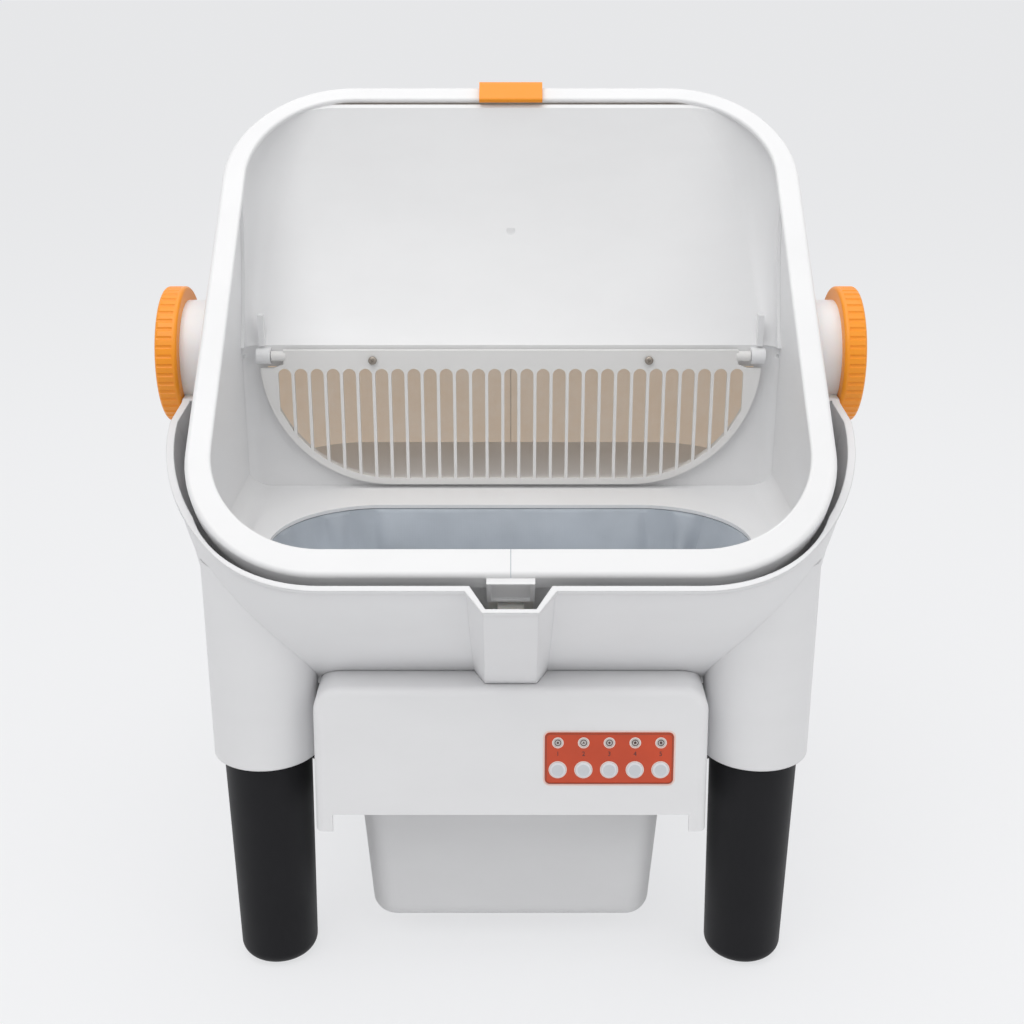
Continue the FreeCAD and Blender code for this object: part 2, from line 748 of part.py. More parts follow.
def drive_track():
    shape, start, end = tooth_track()
    heads = []
    foot = number("drum_radius") + 4
    for i in range(5):
        angle = start + (end - start) * (0.04 + 0.23 * i)
        for sign in (-1, 1):
            place = Vector(
                sign * (number("gear_width") / 2 + 3.7), foot * math.cos(angle), foot * math.sin(angle)
            )
            outward = Vector(0, math.cos(angle), math.sin(angle))
            shank = Part.makeCylinder(1.2, 6.5, place, outward * -1)
            heads.append(shank.fuse(Part.makeCylinder(2.4, 1.4, place, outward)))
    screws = given("track_screw_set", Part.makeCompound(heads))
    track = cut("track_drilled", given("track_form", shape), [screws])
    finish(track, "drive_track")
    finish(group("track_screws", [screws]), "track_screws")
    return screws


def front_clip():
    """The clip over the front of the seam, with two side posts."""
    outer = rectangle("-clip_x", "-rim_long - 5", "clip_x", "-rim_long")
    block = extrude("clip_block", "mouth", [outer], "63 - clip_low", "clip_low")
    recess = rectangle("3.4 - clip_x", "-rim_long - 6", "clip_x - 3.4", "-rim_long - 2.5")
    dish = extrude("clip_dish", "mouth", [recess], "58 - clip_low", "clip_low + 2")
    hook = extrude(
        "clip_hook",
        "mouth",
        [rectangle("-clip_x", "-rim_long - 1", "clip_x", "-rim_long + 4")],
        "3.5",
        "mouth_offset - rim_skirt - 3.5",
    )
    finish(cut("front_clip", fuse("clip_solid", [block, hook]), [dish]), "front_clip")


def rear_latch():
    """The orange latch: a plate over the rim, a back leg and a knuckle round its pin."""
    def at(up, along, *radius):
        return mouth_point(up, along) + radius

    outline = [
        at("mouth_offset + 0.4", "rim_long - rim_width - 1"),
        at("mouth_offset + 0.4", "rim_long + 0.9"),
        at("latch_pin_up", "rim_long + 0.9"),
        at("latch_pin_up - 2.7", "latch_pin_along", 2.7),
        at("latch_pin_up", "latch_pin_along + 2.7", 2.7),
        at("mouth_offset - 2.5", "rim_long + 5"),
        at("mouth_offset + 4.5", "rim_long - 2", 7),
        at("mouth_offset + 4.5", "rim_long - rim_width + 1"),
        at("mouth_offset + 2.5", "rim_long - rim_width - 1", 2),
    ]
    body = extrude("latch_body", "side", [outline], "2 * latch_x", both=True)
    gaps = []
    for side, sign in SIDES:
        low, high = ("19", "latch_x + 1") if sign > 0 else ("-latch_x - 1", "-19")
        slot = [at("latch_pin_up - 5", "rim_long"), at("latch_pin_up - 5", "rim_long + 9"),
                at("latch_pin_up + 5", "rim_long + 9"), at("latch_pin_up + 5", "rim_long")]
        gaps.append(extrude("latch_gap_" + side, "side", [slot], "(%s) - (%s)" % (high, low), low))
    centre = mouth_point("latch_pin_up", "latch_pin_along")
    bore = extrude("latch_bore", "side", [["circle", *centre, "1.55"]], "80", both=True)
    finish(cut("rear_latch", body, gaps + [bore]), "rear_latch")
    pin = extrude("latch_pin", "side", [["circle", *centre, "1.5"]], "50", both=True)
    finish(pin, "latch_pin")


def grate_outline(inset):
    """The half-moon of the grate, smaller by an inset, up to the notches under its bearings."""
    return mirrored([
        ("grate_flat", "grate_low + %s" % inset),
        ("grate_end - %s" % inset, "grate_shoulder", "grate_round - %s" % inset),
    ])


def tray(name, grow):
    """The form inside the tub's lower part: a floor with round corners, up to the wall at the grate."""
    wide = "tray_x + %s" % grow
    corner = "tray_corner + %s" % grow
    low = "ledge_z - %s" % grow
    half = [
        ("(%s) - (%s)" % (wide, corner), low),
        (wide, "(%s) + (%s)" % (low, corner), corner),
        (wide, "200"),
    ]
    return extrude(
        name, "front", [mirrored(half)], "%d + riser_y + %s" % (REACH, grow), "-riser_y - %s" % grow
    )


def coves():
    """Concave strips that round the corners between the wall behind the grate and the tub's sides."""
    strips = []
    for side, sign in SIDES:
        edge = "%d * (tray_x + 0.5)" % sign
        near = "%d * (tray_x - cove)" % sign
        outline = [
            (near, "riser_y"),
            (edge, "riser_y - cove", "-cove * %d" % sign),
            (edge, "riser_y + 1"),
            (near, "riser_y + 1"),
        ]
        strips.append(extrude("cove_" + side, "top", [outline], "-8 - ledge_z - 2", "ledge_z + 2"))
    return strips


def inner_frame():
    """The ledge round the liner, and the wall behind the grate with its opening and stop."""
    shell = cut("tray_shell", tray("tray_outer", "wall"), [tray("tray_inner", "0")])
    beyond = box("chamber_floor", (-REACH, "riser_y", "ledge_z - wall"), (REACH, REACH, "ledge_z"))
    top = box("over_riser", (-REACH, -REACH, "-8"), (REACH, REACH, REACH))
    stop = extrude("grate_stop", "front", [grate_outline("1")], "riser_y - grate_back - 0.5", "-riser_y - 1")
    low_stop = cut("grate_stop_low", stop, [box("stop_top", (-REACH, 0, -45), (REACH, 100, 0))])
    blocks = []
    for side, sign in SIDES:
        low, high = ("band_x + 11.5", "grate_x + 3") if sign > 0 else ("-grate_x - 3", "-band_x - 11.5")
        wide = "grate_x - band_x - 8.5"
        blocks.append(
            box("bearing_" + side, (low, "hinge_y", "hinge_z - 7"), (high, "riser_y + 1", "hinge_z + 7"))
        )
        blocks.append(cylinder("bearing_nose_" + side, "7", wide, (low, "hinge_y", "hinge_z"), "x"))
    bore = cylinder("grate_pin_bore", "2.05", 2 * REACH, (-REACH, "hinge_y", "hinge_z"), "x")
    opening = extrude("grate_opening", "front", [grate_outline("5")], "30", "-80")
    mouth = extrude("liner_opening", "top", [mouth_outline("2.5")], "20", "ledge_z - 10")
    solid = fuse("frame_solid", [shell, beyond, low_stop] + blocks + coves())
    inside = common(
        "frame_inside",
        [cut("frame_cut", solid, [top, opening, mouth]), tub_inside("frame_limit", "fit_gap")],
    )
    finish(cut("inner_frame", inside, [bore]), "inner_frame")


def mouth_outline(grow):
    """The liner's mouth, grown evenly."""
    wide = "liner_x + %s" % grow
    corner = "liner_corner + %s" % grow
    return rounded("-(%s)" % wide, "liner_front - %s" % grow, wide, "liner_back + %s" % grow, corner)


def liner_ring():
    """The ring that clamps the liner's flange on the ledge."""
    outline = rounded("-ring_x", "liner_front - 18", "ring_x", "ring_back", "ring_corner")
    body = extrude("ring_block", "top", [outline], "4.5", "ledge_z")
    hole = extrude("ring_hole", "top", [mouth_outline("0")], "20", "ledge_z - 5")
    rebate = extrude("ring_rebate", "top", [mouth_outline("9")], "1.5", "ledge_z")
    seat = cut("ring_seat", body, [fuse("ring_cuts", [hole, rebate])])
    finish(common("liner_ring", [seat, tub_inside("ring_limit", "0.6")]), "liner_ring")


def loft_section(wide, front, back, corner, z):
    """A rounded rectangle at one height, as a wire."""
    left, right, near, far, r = -wide, wide, front, back, corner
    k = r * (1 - math.sqrt(0.5))
    corners = [
        (Vector(right - r, near, z), Vector(right - k, near + k, z), Vector(right, near + r, z)),
        (Vector(right, far - r, z), Vector(right - k, far - k, z), Vector(right - r, far, z)),
        (Vector(left + r, far, z), Vector(left + k, far - k, z), Vector(left, far - r, z)),
        (Vector(left, near + r, z), Vector(left + k, near + k, z), Vector(left + r, near, z)),
    ]
    edges = []
    for i, (start, middle, end) in enumerate(corners):
        edges.append(Part.Arc(start, middle, end).toShape())
        edges.append(Part.LineSegment(end, corners[(i + 1) % 4][0]).toShape())
    return Part.Wire(edges)


def liner():
    """The soft liner: a bag with a flange, hung in the ledge's opening."""
    top, low = number("ledge_z"), number("liner_floor")
    wide, front, back, corner = (number(n) for n in ("liner_x", "liner_front", "liner_back", "liner_corner"))

    def bag(inset):
        sections = []
        for side, ahead, behind, turn, z in (
            (0, 0, 0, 0, top + 1.5 + inset),
            (9, 23, 5, 14, top - 43),
            (28, 58, 16, 37, top - 66),
            (58, 94, 34, 64, low + inset),
        ):
            limits = (wide - side - inset, front + ahead + inset, back - behind - inset)
            sections.append(loft_section(*limits, corner - turn - inset, z))
        return Part.makeLoft(sections, True, False)

    flange = Part.Face(
        loft_section(wide + 8, front - 8, back + 8, corner + 8, top)
    ).extrude(Vector(0, 0, 1.5))
    finish(given("liner_form", bag(0).fuse(flange).cut(bag(2))), "liner")


def back_wall():
    """The concave wall behind the grate: flat in the middle, its sides curving forward to the top."""
    foot = Vector(0, number("riser_y"), -8)
    top_along = "rim_long - rim_width + mouth_shift + 1"
    top_y, top_z = (number(v) for v in mouth_point("mouth_offset - rim_thick + 8", top_along))
    bulge = Vector(0, 114, 87)
    line = Part.Arc(foot, bulge, Vector(0, top_y, top_z))
    half = number("drum_flat + drum_corner - wall - fit_gap")
    thick = number("wall")
    corner_growth = ((0.16, 15), (0.35, 21), (0.6, 34), (0.8, 52), (1, 93))
    wires = [wall_section(foot, Vector(0, -1, 0), half, 13, thick)]
    for share, radius in corner_growth:
        parameter = line.FirstParameter + share * (line.LastParameter - line.FirstParameter)
        point = line.value(parameter)
        tangent = Vector(*line.tangent(parameter)[0])
        ahead = Vector(1, 0, 0).cross(tangent)
        if ahead.y > 0:
            ahead = ahead * -1
        wires.append(wall_section(point, ahead, half, radius, thick))
    wall = given("back_wall_form", Part.makeLoft(wires, True, False))
    ribs = []
    for side, sign in SIDES:
        middle = "%d * rib_x" % sign
        low = (middle + " - rib_half", "riser_y - 5", "-8")
        high = (middle + " + rib_half", "riser_y + 4", "20")
        ribs.append(box("side_rib_" + side, low, high))
    dimple = cylinder("gate_mark", "4", "15", (0, bulge.y - 14.2, bulge.z), "y")
    lid = above_mouth("over_back_wall", "mouth_offset - rim_thick")
    foot_cut = box("under_back_wall", (-REACH, -REACH, -REACH), (REACH, REACH, -8))
    ribbed = cut("back_wall_cut", fuse("back_wall_ribbed", [wall] + ribs), [lid, dimple, foot_cut])
    finish(common("back_wall", [ribbed, tub_inside("back_wall_limit", "fit_gap")]), "back_wall")


def wall_section(point, ahead, half, radius, thick):
    """One section of the back wall: flat, with ends that turn forward by the radius."""
    def at(x, forward):
        return point + Vector(x, 0, 0) + ahead * forward

    flat = half - thick - radius
    diagonal = math.sqrt(0.5)
    inner, outer = radius, radius + thick
    edges = []
    chain = [
        (at(-flat, -thick), None, at(flat, -thick)),
        (at(flat, -thick), at(flat + outer * diagonal, radius - outer * diagonal), at(flat + outer, radius)),
        (at(flat + outer, radius), None, at(flat + inner, radius)),
        (at(flat + inner, radius), at(flat + inner * diagonal, radius - inner * diagonal), at(flat, 0)),
        (at(flat, 0), None, at(-flat, 0)),
        (at(-flat, 0), at(-flat - inner * diagonal, radius - inner * diagonal), at(-flat - inner, radius)),
        (at(-flat - inner, radius), None, at(-flat - outer, radius)),
        (
            at(-flat - outer, radius),
            at(-flat - outer * diagonal, radius - outer * diagonal),
            at(-flat, -thick),
        ),
    ]
    for start, middle, end in chain:
        edge = Part.LineSegment(start, end) if middle is None else Part.Arc(start, middle, end)
        edges.append(edge.toShape())
    return Part.Wire(edges)


def slot_outline(index):
    """One slot of the grate: round at the top, its lower end following the half-moon."""
    centre = number("slot_pitch") * (index - (number("slot_count") - 1) / 2)
    half = number("slot_width") / 2
    top = number("slot_top")
    inset = 6
    flat, low, radius = number("grate_flat"), number("grate_low") + inset, number("grate_round") - inset

    def bottom(x):
        beyond = max(abs(x) - flat, 0)
        return low + radius - math.sqrt(radius * radius - beyond * beyond)

    left, right = centre - half, centre + half
    return [(left, top - half), (left, bottom(left)), (right, bottom(right)), (right, top - half)]


def grate():
    """The sifting grate: a half-moon with slots, a band with knuckles along its top."""
    body = new_body("grate_form")
    outline = mirrored([
        ("grate_flat", "grate_low"),
        ("grate_end", "grate_shoulder", "grate_round"),
        ("band_x + 9", "grate_shoulder"),
        ("band_x", "hinge_z - 7"),
        ("band_x", "grate_top"),
    ])
    pad(body, body_sketch(body, "grate_plate", "front", [outline], "-grate_back"), "grate_thick")
    slots = body.newObject("Sketcher::SketchObject", "grate_slots")
    support = next(f for f in body.Origin.OriginFeatures if f.Role == "XZ_Plane")
    slots.AttachmentSupport = [(support, "")]
    slots.MapMode = "FlatFace"
    for index in range(int(number("slot_count"))):
        slot = slot_outline(index)
        points = [Vector(x, z, 0) for x, z in slot]
        for start, end in zip(points, points[1:]):
            slots.addGeometry(Part.LineSegment(start, end), False)
        slots.addGeometry(arc_between(points[-1], points[0], number("slot_width") / 2), False)
    pocket(body, slots, 200, back=False, both=True)
    knuckles = []
    for side, sign in SIDES:
        low = "band_x - 2" if sign > 0 else "-band_x - 11"
        knuckles.append(cylinder("grate_knuckle_" + side, "4.5", "13", (low, "hinge_y", "hinge_z"), "x"))
    pins = []
    for side, sign in SIDES:
        low = "band_x" if sign > 0 else "-band_x - 21"
        pins.append(cylinder("grate_pin_" + side, "2", "21", (low, "hinge_y", "hinge_z"), "x"))
    screws = []
    for side, sign in SIDES:
        start = ("%d * 124.5" % sign, "grate_back - grate_thick", "hinge_z - 3")
        screws.append(screw("grate_screw_" + side, "1.5", "grate_thick - 0.2", "3.8", start, "y"))
    solid = fuse("grate_solid", [body] + knuckles)
    finish(cut("sifting_grate", solid, pins + screws), "sifting_grate")
    finish(group("grate_pins", pins), "grate_pins")
    finish(group("grate_screws", screws), "grate_screws")


# The base


def lip_line(depth):
    """The hull's upper edge from the front to the back, lowered by a depth."""
    front = "-lip_level - (%d - saddle_front) * tan(lip_slope) - %s" % (REACH, depth)
    return [(-REACH, front), ("-saddle_front", "-lip_level - %s" % depth), (REACH, "-lip_level - %s" % depth)]


def over_lip(name):
    return extrude(name, "side", [lip_line("0") + [(REACH, REACH), (-REACH, REACH)]], 2 * REACH, both=True)


def lip_slab():
    """A slab that follows the hull's edge, as wide as the lip."""
    band = extrude(
        "lip_band", "side", [lip_line("lip_depth") + list(reversed(lip_line("0")))], 2 * REACH, both=True
    )
    return common("lip_slab", [revolve("lip_form", hull_profile("lip_out", "0.8")), band])


def leg_places():
    for end, back in (("front", -1), ("rear", 1)):
        for side, sign in SIDES:
            yield "%s_%s" % (end, side), "%d * leg_x" % sign, "%d * leg_y" % back


def base_shell(motor_screws):
    """The hull with its lip, channel, leg sleeves, saddles and motor mount, as one moulding."""
    sleeves, sockets = [], []
    for name, x, y in leg_places():
        foot = "sleeve_mouth - axis_height"
        sleeves.append(cylinder("sleeve_" + name, "sleeve_radius", "sleeve_top - sleeve_mouth", (x, y, foot)))
        sockets.append(cylinder("socket_" + name, "sleeve_bore", "83", (x, y, foot)))
    leg_room = cut("leg_room", fuse("leg_sockets", sockets), [hull_solid("hull_over_legs", "0")])
    mount = turned("motor_mount", box("motor_block", ("-boss_end", -26, 268), ("boss_end", 26, 316)))
    solid = fuse("hull_solid", [hull_solid("hull", "0"), lip_slab(), mount] + sleeves)
    port = box("waste_port", ("-port_x", "port_front", -345), ("port_x", "port_back", -150))
    gear_room = turned("gear_room", cylinder("gear_space", "29", "26", (-13, 0, "pinion_distance"), "x"))
    bush_space = cylinder(
        "bush_space", "bush_radius", "2 * boss_end", ("-boss_end", 0, "pinion_distance"), "x"
    )
    space = hull_solid("hull_space", "(-hull_wall)")
    open_hull = cut("hull_open", solid, [space, port, gear_room, turned("bush_room", bush_space), leg_room])
    bosses = []
    notches = []
    for side, sign in SIDES:
        toward = "x" if sign > 0 else "-x"
        start = ("%d * (hull_axis_wide - 10)" % sign, "0", "0")
        bosses.append(cylinder("saddle_boss_" + side, "saddle_radius + 7", "10.8", start, toward))
        notches.append(
            cylinder("saddle_notch_" + side, "saddle_radius", "40", ("%d * 240" % sign, "0", "0"), toward)
        )
        flange_start = ("%d * (hull_axis_wide + 0.8)" % sign, "0", "0")
        notches.append(cylinder("saddle_step_" + side, "saddle_radius + 3.2", "20", flange_start, toward))
    whole = fuse("hull_with_saddles", [open_hull] + bosses)
    finish(cut("base_shell", whole, [over_lip("hull_mouth")] + notches + motor_screws), "base_shell")


def under_frame(cover_screws, rail_screws):
    """The frame under the hull: two sides and a back, with posts for the cover's screws."""
    low = "frame_bottom - axis_height"
    outer = box("frame_outer", ("-frame_x", "frame_front", low), ("frame_x", "frame_back", "-150"))
    inner = box(
        "frame_inner",
        ("wall - frame_x", "frame_front - 1", low + " - 1"),
        ("frame_x - wall", "frame_back - wall", "0"),
    )
    posts = []
    for side, sign in SIDES:
        toward = "x" if sign > 0 else "-x"
        start = ("%d * (frame_x - wall)" % sign, "-158", "168 - axis_height")
        posts.append(cylinder("cover_post_" + side, "5", "cover_x - frame_x", start, toward))
    inlet = cylinder("inlet_hole", "6", "20", (-100, "frame_back - 10", "185 - axis_height"), "y")
    sleeves = [
        cylinder(
            "sleeve_room_" + name, "sleeve_radius + 0.3", "300", (x, y, "-axis_height")
        ) for name, x, y in leg_places()
    ]
    solid = fuse("frame_solid_under", [cut("frame_walls", outer, [inner])] + posts)
    tools = [hull_solid("hull_over_frame", "0"), inlet] + sleeves + cover_screws + rail_screws
    finish(cut("under_frame", solid, tools), "under_frame")


def saddle_bushes():
    """The open plain bearings under the hubs, each with a flange outside."""
    for side, sign in SIDES:
        def x(text):
            return "%d * (%s)" % (sign, text)

        outline = [
            (x("hull_axis_wide - 9"), "hub_radius + 0.05"),
            (x("hub_end - 1"), "hub_radius + 0.05"),
            (x("hub_end - 1"), "saddle_radius + 3"),
            (x("hull_axis_wide + 0.8"), "saddle_radius + 3"),
            (x("hull_axis_wide + 0.8"), "saddle_radius"),
            (x("hull_axis_wide - 9"), "saddle_radius"),
        ]
        ring = revolve("saddle_ring_" + side, outline)
        finish(cut("saddle_bush_" + side, ring, [over_lip("saddle_cut_" + side)]), "saddle_bush_" + side)


def legs():
    """Four tapered legs with a collar that fits the sleeve, and their rubber pads."""
    pads = []
    for name, x, y in leg_places():
        body = new_body("leg_" + name)
        outline = [
            ("leg_foot_radius - 11", "1.2"),
            ("leg_foot_radius", "12.2", "11"),
            ("leg_top_radius", "sleeve_mouth"),
            ("leg_top_radius", "sleeve_mouth + 4"),
            ("sleeve_bore - 0.3", "sleeve_mouth + 6"),
            ("sleeve_bore - 0.3", "sleeve_mouth + 40"),
            ("leg_top_radius - 3", "sleeve_mouth + 40"),
            ("leg_foot_radius - 3", "16"),
            ("leg_foot_radius - 10", "9"),
            ("0", "9"),
            ("0", "4"),
            ("pad_radius", "4"),
            ("pad_radius", "1.2"),
        ]
        spin(body, body_sketch(body, "leg_profile_" + name, "front", [outline]), "V_Axis")
        finish(body, "leg_" + name, x, y, "-axis_height")
        pads.append(cylinder("pad_" + name, "pad_radius", "4", (x, y, "0")))
    finish(group("foot_pads", pads), "foot_pads", z="-axis_height")


def cover_face_y(up, inset="0"):
    """The Y of the cover's front face at a height above the floor."""
    return "cover_face - (cover_face_top - (%s)) * tan(cover_face_tilt) + %s" % (up, inset)


def cover_block(name, inset, extra):
    """The cover's form: round upper corners, a leaning front face with softened edges."""
    body = new_body(name)
    wide, top = "cover_x - %s" % inset, "cover_top - axis_height - %s" % inset
    corner = "cover_corner - %s" % inset
    low = "cover_side_low - axis_height - %s" % extra
    shoulder = "%s - (%s)" % (top, corner)
    outline = mirrored([(wide, low), (wide, shoulder), ("%s - (%s)" % (wide, corner), top, corner)])
    block = body_sketch(body, name + "_outline", "front", [outline], "150 - %s" % extra)
    pad(body, block, "110")
    high, foot = "cover_top + 40", "cover_side_low - 40"
    front = [
        (cover_face_y(high, inset), high + " - axis_height"),
        (-REACH, high + " - axis_height"),
        (-REACH, foot + " - axis_height"),
        (cover_face_y(foot, inset), foot + " - axis_height"),
    ]
    leaning = pocket(body, body_sketch(body, name + "_face", "side", [front]), 2 * REACH, both=True)
    tilt = math.tan(math.radians(number("cover_face_tilt")))
    face, face_top, height = number("cover_face"), number("cover_face_top"), number("axis_height")

    def on_face(point):
        up = point.z + height
        return abs(
            point.y - (face - (face_top - up) * tilt) - inset
        ) < 0.01 and up > number("cover_side_low") + 1

    soften(body, leaning, "7 - %s" % inset, on_face)
    return body


def on_face(item, label=None):
    """Moves a piece drawn flat to the control panel's place on the cover's leaning face."""
    item.Placement = Placement(Vector(), Rotation(Vector(1, 0, 0), number("90 - cover_face_tilt")))
    place = ("panel_x", cover_face_y("panel_up"), "panel_up - axis_height")
    if label:
        return finish(item, label, *place)
    return set_place(item, *place)


def key_places():
    return ["button_pitch * %d" % (i - 2) for i in range(5)]


def discs(name, radius, length, low, up):
    """Five round prisms in a row on the panel."""
    parts = [
        cylinder("%s_%d" % (name, i), radius, length, (x, up, low))
        for i, x in enumerate(key_places(), 1)
    ]
    return group(name, parts)


POSTS = ((-30, 17), (30, 17), (-30, -18), (30, -18))


def board_screw_set(name):
    parts = [
        screw("%s_%d" % (name, i), "1.25", "6", "2.4", (x, y, "-14"), "z")
        for i, (x, y) in enumerate(POSTS)
    ]
    return group(name, parts)


def control_cover(cover_screws):
    """The front housing: a shell with ears at its foot, holes for the keys and posts for the board."""
    outer = cover_block("cover_outer", 0, 0)
    inner = cover_block("cover_inner", 3, 12)
    side = "cover_x - 13.5"
    foot = box("cover_foot", ("-(%s)" % side, -REACH, -REACH), (side, -190, "cover_front_low - axis_height"))
    hull = hull_solid("hull_behind_cover", "0.3")
    shell = cut("cover_shell", outer, [inner, foot, hull])
    recess = extrude(
        "panel_recess",
        "top",
        [
            rounded(
                "-panel_wide / 2 - 0.2",
                "-panel_high / 2 - 0.2",
                "panel_wide / 2 + 0.2",
                "panel_high / 2 + 0.2",
                "4.2",
            )
        ],
        "4",
        "-0.8",
    )
    keys = discs("key_holes", "button_radius + 0.4", "12", "-8", "button_up")
    lights = discs("lens_holes", "lens_radius + 0.2", "12", "-8", "lens_up")
    holes = on_face(group("panel_cuts", [recess, keys, lights]))
    posts = [cylinder("board_post_%d" % i, "3", "10", (x, y, "-12.4")) for i, (x, y) in enumerate(POSTS)]
    post_set = on_face(group("board_posts", posts))
    pierced = cut("cover_pierced", shell, [holes])
    solid = fuse("cover_with_posts", [pierced, post_set])
    tools = [on_face(board_screw_set("post_drills"))] + cover_screws
    finish(cut("control_cover", solid, tools), "control_cover")


def control_panel():
    """The panel plate, its buttons and lenses, and the board with its switches behind the cover."""
    body = new_body("panel_form")
    outline = rounded("-panel_wide / 2", "-panel_high / 2", "panel_wide / 2", "panel_high / 2", "4")
    plate = pad(body, body_sketch(body, "panel_outline", "top", [outline], "-0.8"), "1.5")
    soften(body, plate, "0.5", lambda point: point.z > 0.69)
    holes = discs("plate_key_holes", "button_radius + 0.3", "6", "-3", "button_up")
    lights = discs("plate_lens_holes", "lens_radius", "6", "-3", "lens_up")
    on_face(cut("panel_plate", body, [holes, lights]), "control_panel")
    for i, x in enumerate(key_places(), 1):
        key = new_body("button_form_%d" % i)
        profile = [
            ("0", "-8"),
            ("2", "-8"),
            ("2", "-4.6"),
            ("button_radius + 1.3", "-4.6"),
            ("button_radius + 1.3", "-3.1"),
            ("button_radius", "-3.1"),
            ("button_radius", "1"),
            ("button_radius - 1", "2", "1"),
            ("0", "2"),
        ]
        spin(key, body_sketch(key, "button_profile_%d" % i, "front", [profile]), "V_Axis")
        key.Placement = Placement(Vector(number(x), number("button_up"), 0), Rotation())
        on_face(group("button_%d" % i, [key]), "button_%d" % i)
    on_face(discs("lens_set", "lens_radius", "3.6", "-3.2", "lens_up"), "indicator_lenses")
    board = box("board_plate", (-48, -21, "-14"), (48, 20, "-12.4"))
    on_face(cut("board", board, [board_screw_set("board_drills")]), "circuit_board")
    on_face(board_screw_set("board_screw_set"), "board_screws")
    switches = []
    for i, x in enumerate(key_places(), 1):
        case = box(
            "switch_case_%d" % i,
            (x + " - 3", "button_up - 3", "-12.4"),
            (x + " + 3", "button_up + 3", "-9.9"),
        )
        plunger = cylinder("switch_plunger_%d" % i, "1.6", "0.6", (x, "button_up", "-9.95"))
        switches.append(fuse("switch_%d" % i, [case, plunger]))
    on_face(group("switch_set", switches), "key_switches")


def cover_screw_set():
    screws = []
    for side, sign in SIDES:
        toward = "-x" if sign > 0 else "x"
        start = ("%d * (cover_x - 1.5)" % sign, "-158", "168 - axis_height")
        screws.append(screw("cover_screw_" + side, "1.8", "16", "2.4", start, toward))
    finish(group("cover_screws", screws), "cover_screws")
    return screws


# The drive


def involute_pinion():
    """The pinion's outline: involute flanks with backlash, standing straight above the tub's axis."""
    module, count = number("gear_module"), int(number("pinion_teeth"))
    pitch = module * count / 2
    base = pitch * math.cos(math.radians(20))
    root, tip = pitch - 1.25 * module, pitch + module
    involute = math.tan(math.radians(20)) - math.radians(20)
    half_tooth = math.pi / (2 * count) - 0.15 / pitch

    def half_angle(radius):
        if radius <= base:
            return half_tooth + involute
        pressure = math.acos(base / radius)
        return half_tooth + involute - (math.tan(pressure) - pressure)

    radii = [root, base] + [base + (tip - base) * i / 4 for i in range(1, 5)]
    points = []
    for tooth in range(count):
        centre = math.radians(-90) + (tooth + 0.5) * 2 * math.pi / count
        flank = [(r, half_angle(r)) for r in radii]
        side = [(r, centre - a) for r, a in flank] + [(r, centre + a) for r, a in reversed(flank)]
        points += [Vector(0, r * math.cos(a), r * math.sin(a)) for r, a in side]
    wire = Part.makePolygon(points + points[:1])
    wide = number("gear_width") - 2
    gear = Part.Face(wire).extrude(Vector(wide, 0, 0))
    gear.translate(Vector(-wide / 2, 0, number("pinion_distance")))
    return gear


def drive():
    """Pinion, shaft, bushes and gear motor, drawn straight above the axis and swung to their place."""
    height = "pinion_distance"
    shaft = cylinder("shaft_form", "shaft_radius", "boss_end + 10 + 33", (-33, 0, height), "x")
    pinion = cut("pinion_form", given("pinion_gear", involute_pinion()), [shaft])
    finish(turned("drive_pinion", pinion), "drive_pinion")
    finish(turned("pinion_shaft", shaft), "pinion_shaft")
    bushes = []
    for side, sign in SIDES:
        low = "13.2" if sign > 0 else "-boss_end + 0.5"
        ring = cylinder("bush_ring_" + side, "bush_radius", "boss_end - 13.7", (low, 0, height), "x")
        hole = cylinder("bush_hole_" + side, "shaft_radius + 0.05", "60", ("(%s) - 10" % low, 0, height), "x")
        bushes.append(cut("bush_" + side, ring, [hole]))
    finish(turned("shaft_bushes", group("bush_pair", bushes)), "shaft_bushes")
    middle = "pinion_distance + 6.5"
    gearbox = cylinder("gearbox", "16.5", "25", ("boss_end", 0, middle), "x")
    can = cylinder("motor_can", "14", "37", ("boss_end + 24", 0, middle), "x")
    ears = box("motor_ears", ("boss_end", -25, middle + " - 7"), ("boss_end + 3", 25, middle + " + 7"))
    socket = cylinder("motor_socket", "shaft_radius + 0.05", "12", ("boss_end - 1", 0, height), "x")
    screws = motor_screw_set("motor_drill")
    solid = fuse("motor_solid", [gearbox, can, ears])
    finish(turned("gear_motor", cut("gear_motor_form", solid, [socket, screws])), "gear_motor")


def motor_screw_set(name):
    parts = []
    for i, y in enumerate((-21, 21)):
        start = ("boss_end + 3", y, "pinion_distance + 6.5")
        parts.append(screw("%s_%d" % (name, i), "1.6", "12", "3", start, "-x"))
    return group(name, parts)


# The waste path


def waste_chute():
    """A frame from the hull's port down to the bin, its top following the hull."""
    outer = box(
        "chute_outer",
        ("-port_x - 2.5", "port_front - 2.5", "163.5 - axis_height"),
        ("port_x + 2.5", "port_back + 2.5", -190),
    )
    inner = box("chute_inner", ("-port_x", "port_front", -REACH), ("port_x", "port_back", 0))
    finish(cut("waste_chute", outer, [inner, hull_solid("hull_over_chute", "0")]), "waste_chute")


def bin_block(name, inset):
    """The bin's form: drawn in towards its foot, with round corners."""
    low = number("bin_bottom - axis_height") + inset
    high = number("bin_top - axis_height") + 2 * inset
    corner, foot, head = (number(n) for n in ("bin_corner", "bin_low_x", "bin_top_x"))
    front, back = number("bin_front") + inset, number("bin_back") - inset
    block = Part.makeLoft(
        [
            loft_section(foot - inset, front + 5, back - 5, corner - inset, low),
            loft_section(head - inset, front, back, corner - inset, high),
        ],
        True,
        True,
    )
    edges = [edge for edge in block.Edges if edge.BoundBox.ZMax < low + 0.01]
    return given(name, block.makeFillet(corner - 5 - inset, edges))


